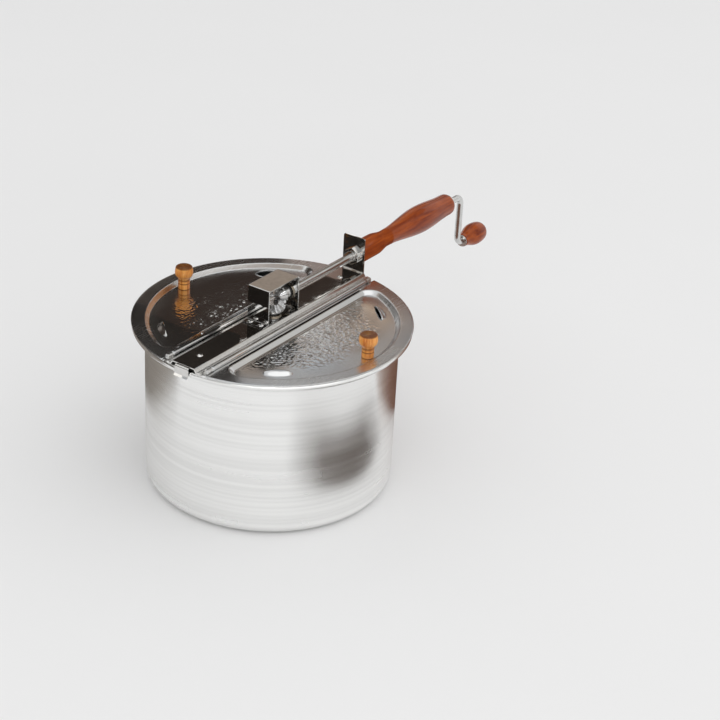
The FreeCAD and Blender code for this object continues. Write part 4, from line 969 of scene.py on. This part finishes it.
def make_handle():
    """Turned handle: straight foot, waist, full palm and rounded end."""
    length = handle_high.x - handle_low.x
    outline = rounded([(HANDLE_BORE, 0), (HANDLE_SHOULDER[0], 0, HANDLE_FOOT_BEND), HANDLE_SHOULDER])
    outline += swerve(HANDLE_SHOULDER, HANDLE_WAIST)[1:]
    outline += swerve(HANDLE_WAIST, HANDLE_PALM, pieces=24)[1:]
    outline += swerve(HANDLE_PALM, HANDLE_TAIL, pieces=18)[1:]
    outline += rounded([HANDLE_TAIL, (HANDLE_END, length, HANDLE_END_BEND), (HANDLE_BORE, length)],
                       pieces=8)[1:]
    parts = [lathe(outline, HANDLE_SEGMENTS, "X", (handle_low.x, 0, rod_level))]
    make_piece("turned_handle", parts, "bridge", "handle_wood", ["wood_handle"])


def make_grip():
    """The crank's knob: slim foot, full palm and domed end."""
    length = grip_high.x - grip_low.x
    outline = rounded([(GRIP_BORE, 0), (GRIP_NECK[0], 0, GRIP_FOOT_BEND), GRIP_NECK], pieces=4)
    outline += swerve(GRIP_NECK, GRIP_PALM, pieces=18)[1:]
    for degrees in range(8, 89, 8):
        angle = math.radians(degrees)
        outline.append(Vector((GRIP_CROWN + GRIP_SHOULDER * math.cos(angle) ** GRIP_FULLNESS,
                               GRIP_PALM[1] + GRIP_DOME * math.sin(angle))))
    outline += [Vector((GRIP_END, length)), Vector((GRIP_BORE, length))]
    parts = [lathe(outline, KNOB_SEGMENTS, "X", (grip_low.x, 0, spindle_level))]
    make_piece("turned_grip", parts, "crank_knob", "handle_wood", ["crank_knob"])


def make_lid_knob(word, side):
    """Turned knob: grooved neck, flared head and a slightly dished top."""
    neck, head, top, height = KNOB_NECK, KNOB_HEAD, KNOB_TOP, knob_high.z - knob_low.z
    outline = rounded([(AXIS_HOLE, 0), (neck, 0, 0.5), (neck, 4.7, 0.25), (neck - 0.7, NECK_GROOVE, 0.4),
                       (neck, 5.9, 0.25), (neck, 7.6)], pieces=4)
    outline += [Vector((neck - 0.5, 8.1)), Vector((neck - 0.1, KNOB_WAIST))]
    outline += swerve((neck, 8.9), (head - 0.25, 14.0))
    outline += [Vector((head - 0.02, 14.9)), Vector((head, 15.6)), Vector((head - 0.03, 16.3))]
    outline += rounded([(head - 0.1, 17.0), (head - 0.75, height, 1.3), (top - 2.0, height)], pieces=10)
    outline += [Vector((top - 2.6, height - 0.12)), Vector((top - 4.2, height - 0.4)),
                Vector((AXIS_HOLE, height - 0.5))]
    parts = [lathe(outline, KNOB_SEGMENTS, "Z", (0, side * knob_y, knob_low.z))]
    make_piece(word + "_turned_knob", parts, word + "_lid", "knob_wood", [word + "_knob"])


# ---------------------------------------- frame solids that stay

# How wide their rounded edges are, in millimetres.
EDGE_WIDTHS = {"handle_nut": 0.35, "pinion_gear": 0.14, "driven_gear": 0.14, "rim_clip_left": 0.15,
               "rim_clip_right": 0.15, "handle_tube": 0.25, "rod_bush": 0.2, "shaft_bush": 0.2,
               "pinion_washer": 0.1, "thrust_washer": 0.1, "knob_stop_washer": 0.12,
               "front_knob_screw": 0.3, "rear_knob_screw": 0.3, "front_hinge_pin": 0.2,
               "rear_hinge_pin": 0.2, "shaft_clip": 0.1}


def dress_nodes():
    """Gives every frame solid its slot's material, and narrow rounded edges to some."""
    for row in frame["record"]["subparts"]:
        node = nodes[row["node"]]
        for place in node.material_slots:
            place.material = LOOKS[row["material_slot"]]
        if row["node"] in EDGE_WIDTHS:
            soften(node, EDGE_WIDTHS[row["node"]], weld=True)


# ---------------------------------------- studio

# The studio is written in metres. Its cards stand outside the picture, where bright metal
# mirrors them.
FLOOR_SIZE = 24.0
FLOOR_DROP = 0.0002
WORLD_STRENGTH = 0.82
SET_MIDDLE = (0, 0, 0.1)
CARD_LEVEL = 0.27
LOW_CARD_LEVEL = 0.222
ARC_PIECES = 32
ARC_FOOT = 0.15
ARC_CHANGE = (0.70, 0.80)

# Shares of a card's width, from its middle, between which the end colour comes in.
CARD_FADE = (0.2, 0.5)


def stage_plane(name, width, depth, matrix, look):
    """A flat stage object centred on its own origin."""
    mesh = bpy.data.meshes.new(name)
    x, y = width / 2, depth / 2
    mesh.from_pydata([(-x, -y, 0), (x, -y, 0), (x, y, 0), (-x, y, 0)], [], [(0, 1, 2, 3)])
    mesh.materials.append(look)
    plane = bpy.data.objects.new(name, mesh)
    plane.matrix_world = matrix
    bpy.context.scene.collection.objects.link(plane)
    return plane


def facing(place, target):
    """A matrix at a place whose -Z looks at the target."""
    turn = (Vector(target) - Vector(place)).to_track_quat("-Z", "Y")
    return Matrix.Translation(place) @ turn.to_matrix().to_4x4()


def make_lamp(name, place, size, power):
    """A square lamp that looks at the middle of the set and doesn't show in the picture."""
    data = bpy.data.lights.new(name, "AREA")
    data.shape = "SQUARE"
    data.size = size
    data.energy = power
    lamp = bpy.data.objects.new(name, data)
    lamp.matrix_world = facing(place, SET_MIDDLE)
    lamp.visible_camera = False
    bpy.context.scene.collection.objects.link(lamp)


def only_mirrored(card):
    """Keeps a card out of the picture, the light and the shadows, so only reflections show it."""
    card.visible_camera = False
    card.visible_diffuse = False
    card.visible_shadow = False


def dimmed(color):
    """The colour at four fifths of its strength."""
    return tuple(0.8 * c for c in color)


def make_card(name, place, target, width, height, color, end_color=None):
    """A flat card that faces the target and fades to its end colour at both sides."""
    look = Look(name + "_paper", color, 0.0, 1.0)
    away = look.math("ABSOLUTE", look.part(0))
    ends = look.remap(away, 0.0, 1.0, width * CARD_FADE[0], width * CARD_FADE[1])
    look.use(Base_Color=look.blend(ends, color, end_color or dimmed(color)))
    only_mirrored(stage_plane(name, width, height, facing(place, target), look.material))


def stage_card(name, vertices, faces, look):
    """Makes a card from its vertices and faces, and leaves it to reflections."""
    mesh = bpy.data.meshes.new(name)
    mesh.from_pydata(vertices, [], faces)
    mesh.materials.append(look.material)
    card = bpy.data.objects.new(name, mesh)
    bpy.context.scene.collection.objects.link(card)
    only_mirrored(card)


def make_sheet(name, outline, color, glow, level=CARD_LEVEL):
    """A level card over the set, faintly clouded, with a glow of its own."""
    look = Look(name + "_paper", color, 0.0, 1.0, Emission_Color=(*color, 1), Emission_Strength=glow)
    look.use(Base_Color=look.blend(look.noise(look.place, scale=4.0), color, dimmed(color)))
    stage_card(name, [(x, y, level) for x, y in outline], [tuple(range(len(outline)))], look)


def make_arc_card(name, radius, turns, elevations, low_color, high_color=None):
    """A strip curved round the set, which may change its colour upwards."""
    look = Look(name + "_paper", low_color, 0.0, 1.0)
    change = look.remap(look.part(2), 0.0, 1.0, *ARC_CHANGE)
    look.use(Base_Color=look.blend(change, low_color, high_color or low_color))
    vertices = []
    for step in range(ARC_PIECES + 1):
        turn = math.radians(turns[0] + (turns[1] - turns[0]) * step / ARC_PIECES)
        for elevation in elevations:
            height = radius * math.tan(math.radians(elevation)) + ARC_FOOT
            vertices.append((radius * math.cos(turn), radius * math.sin(turn), height))
    faces = [(2 * k, 2 * k + 2, 2 * k + 3, 2 * k + 1) for k in range(ARC_PIECES)]
    stage_card(name, vertices, faces, look)


def make_studio():
    """A plain pale floor under an even sky, three lamps, and the cards."""
    floor = Look("floor_paper", (0.84, 0.84, 0.84), 0.0, 0.9)
    speckle = floor.noise(floor.place, scale=3.0)
    floor.use(Base_Color=floor.blend(speckle, (0.83, 0.83, 0.83), (0.85, 0.85, 0.85)))
    stage_plane("floor", FLOOR_SIZE, FLOOR_SIZE, Matrix.Translation((0, 0, -FLOOR_DROP)), floor.material)
    world = bpy.data.worlds.new("studio")
    bpy.context.scene.world = world
    world.use_nodes = True
    backdrop = world.node_tree.nodes["Background"]
    backdrop.inputs["Color"].default_value = (1.0, 1.0, 1.0, 1)
    backdrop.inputs["Strength"].default_value = WORLD_STRENGTH
    # A broad soft key from the front left, a fill from the right and a small lamp for glints.
    make_lamp("key", (-1.6, -2.2, 3.2), 5.6, 45.0)
    make_lamp("fill", (2.2, -2.0, 2.2), 3.0, 8.0)
    make_lamp("spark", (-2.1, -1.5, 2.3), 0.3, 2.4)
    # Strips round the set, behind it, to its right and at its front right.
    make_arc_card("back_card", 1.1, (15, 185), (17, 42), (0.14, 0.105, 0.085), (0.55, 0.57, 0.59))
    make_arc_card("side_card", 0.9, (-18, 31), (33, 52), (0.22, 0.18, 0.15))
    make_arc_card("front_arc_card", 0.9, (-62, -18), (9, 52), (0.72, 0.71, 0.69))
    # Level cards: a dark one for the rear lid and the bar's floor, and a bright one for the rails.
    make_sheet("top_card", [(-0.6, 0.1245), (0.8, 0.1245), (0.8, 0.5), (-0.6, 0.5)],
               (0.035, 0.018, 0.010), 0.0)
    make_sheet("bright_card", [(-0.6, 0.105), (0.283, 0.104), (0.8, 0.09), (0.8, 0.124), (-0.6, 0.124)],
               (0.90, 0.89, 0.86), 0.72)
    # Level cards for the middle and the right end of the front lid.
    make_sheet("brown_card", [(0.185, 0.035), (0.277, 0.030), (0.282, 0.1035), (0.185, 0.1045)],
               (0.27, 0.21, 0.17), 0.45)
    make_sheet("tan_card", [(0.278, 0.060), (0.312, 0.055), (0.312, 0.1025), (0.283, 0.1035)],
               (0.72, 0.54, 0.37), 0.8)
    # Level cards for what slopes, such as the vents' hoods, and for the housing's top.
    make_sheet("overhead_card", [(-0.075, -0.09), (0.01, -0.09), (0.01, 0.04), (-0.075, 0.04)],
               (0.36, 0.37, 0.38), 0.6)
    make_sheet("low_card", [(0.0, 0.018), (0.095, 0.018), (0.095, 0.06), (0.0, 0.06)],
               (0.30, 0.25, 0.21), 0.7, LOW_CARD_LEVEL)
    # Upright cards: one low before the pot's wall, one for the housing's left side, and two at
    # the pot's right and left as the camera sees it.
    make_card("front_card", (-0.005, -0.162, 0.028), (-0.005, -0.133, 0.088), 0.25, 0.056,
              (0.09, 0.065, 0.05), (0.84, 0.84, 0.84))
    make_card("wall_card", (-0.045, 0.075, 0.21), (0.0, 0.075, 0.21), 0.15, 0.107, (0.02, 0.014, 0.010))
    make_card("right_card", (0.17, -0.05, 0.10), (0, -0.05, 0.10), 0.33, 0.20, (0.22, 0.11, 0.075),
              (0.50, 0.42, 0.38))
    make_card("left_card", (-0.05, 0.20, 0.10), (-0.05, 0.0, 0.10), 0.40, 0.20, (0.32, 0.29, 0.26))


def make_camera():
    """The camera stands left of the popper and in front of it, looking down on the lids."""
    azimuth, elevation, roll = math.radians(-56.3), math.radians(28.1), math.radians(3.2)
    distance = 1.524
    focal_pixels = 1792.0
    picture = 720.0
    aim_pixel = (273.0, 317.4)
    back = Vector((math.sin(azimuth) * math.cos(elevation), -math.cos(azimuth) * math.cos(elevation),
                   math.sin(elevation)))
    level_right = Vector((math.cos(azimuth), math.sin(azimuth), 0.0))
    level_up = back.cross(level_right)
    right = math.cos(roll) * level_right + math.sin(roll) * level_up
    up = math.cos(roll) * level_up - math.sin(roll) * level_right
    across = (aim_pixel[0] - picture / 2) / focal_pixels * distance
    along = (picture / 2 - aim_pixel[1]) / focal_pixels * distance
    place = Vector((0, 0, lid_level * MM)) - across * right - along * up + distance * back
    data = bpy.data.cameras.new("camera")
    data.sensor_width = 36.0
    data.lens = focal_pixels / picture * data.sensor_width
    data.clip_start = 0.01
    data.clip_end = 60.0
    camera = bpy.data.objects.new("camera", data)
    camera.matrix_world = Matrix.Translation(place) @ Matrix((right, up, back)).transposed().to_4x4()
    bpy.context.scene.collection.objects.link(camera)
    bpy.context.scene.camera = camera


make_camera()
make_studio()
dress_nodes()
make_pot()
for word, side, half_turns, seed in (("front", -1, 0, 3.0), ("rear", 1, 1, 11.0)):
    make_lid(word, half_turns, seed)
    make_lid_knob(word, side)
make_bar()
make_housing()
make_handle()
make_grip()
bpy.context.scene.view_settings.view_transform = "Standard"
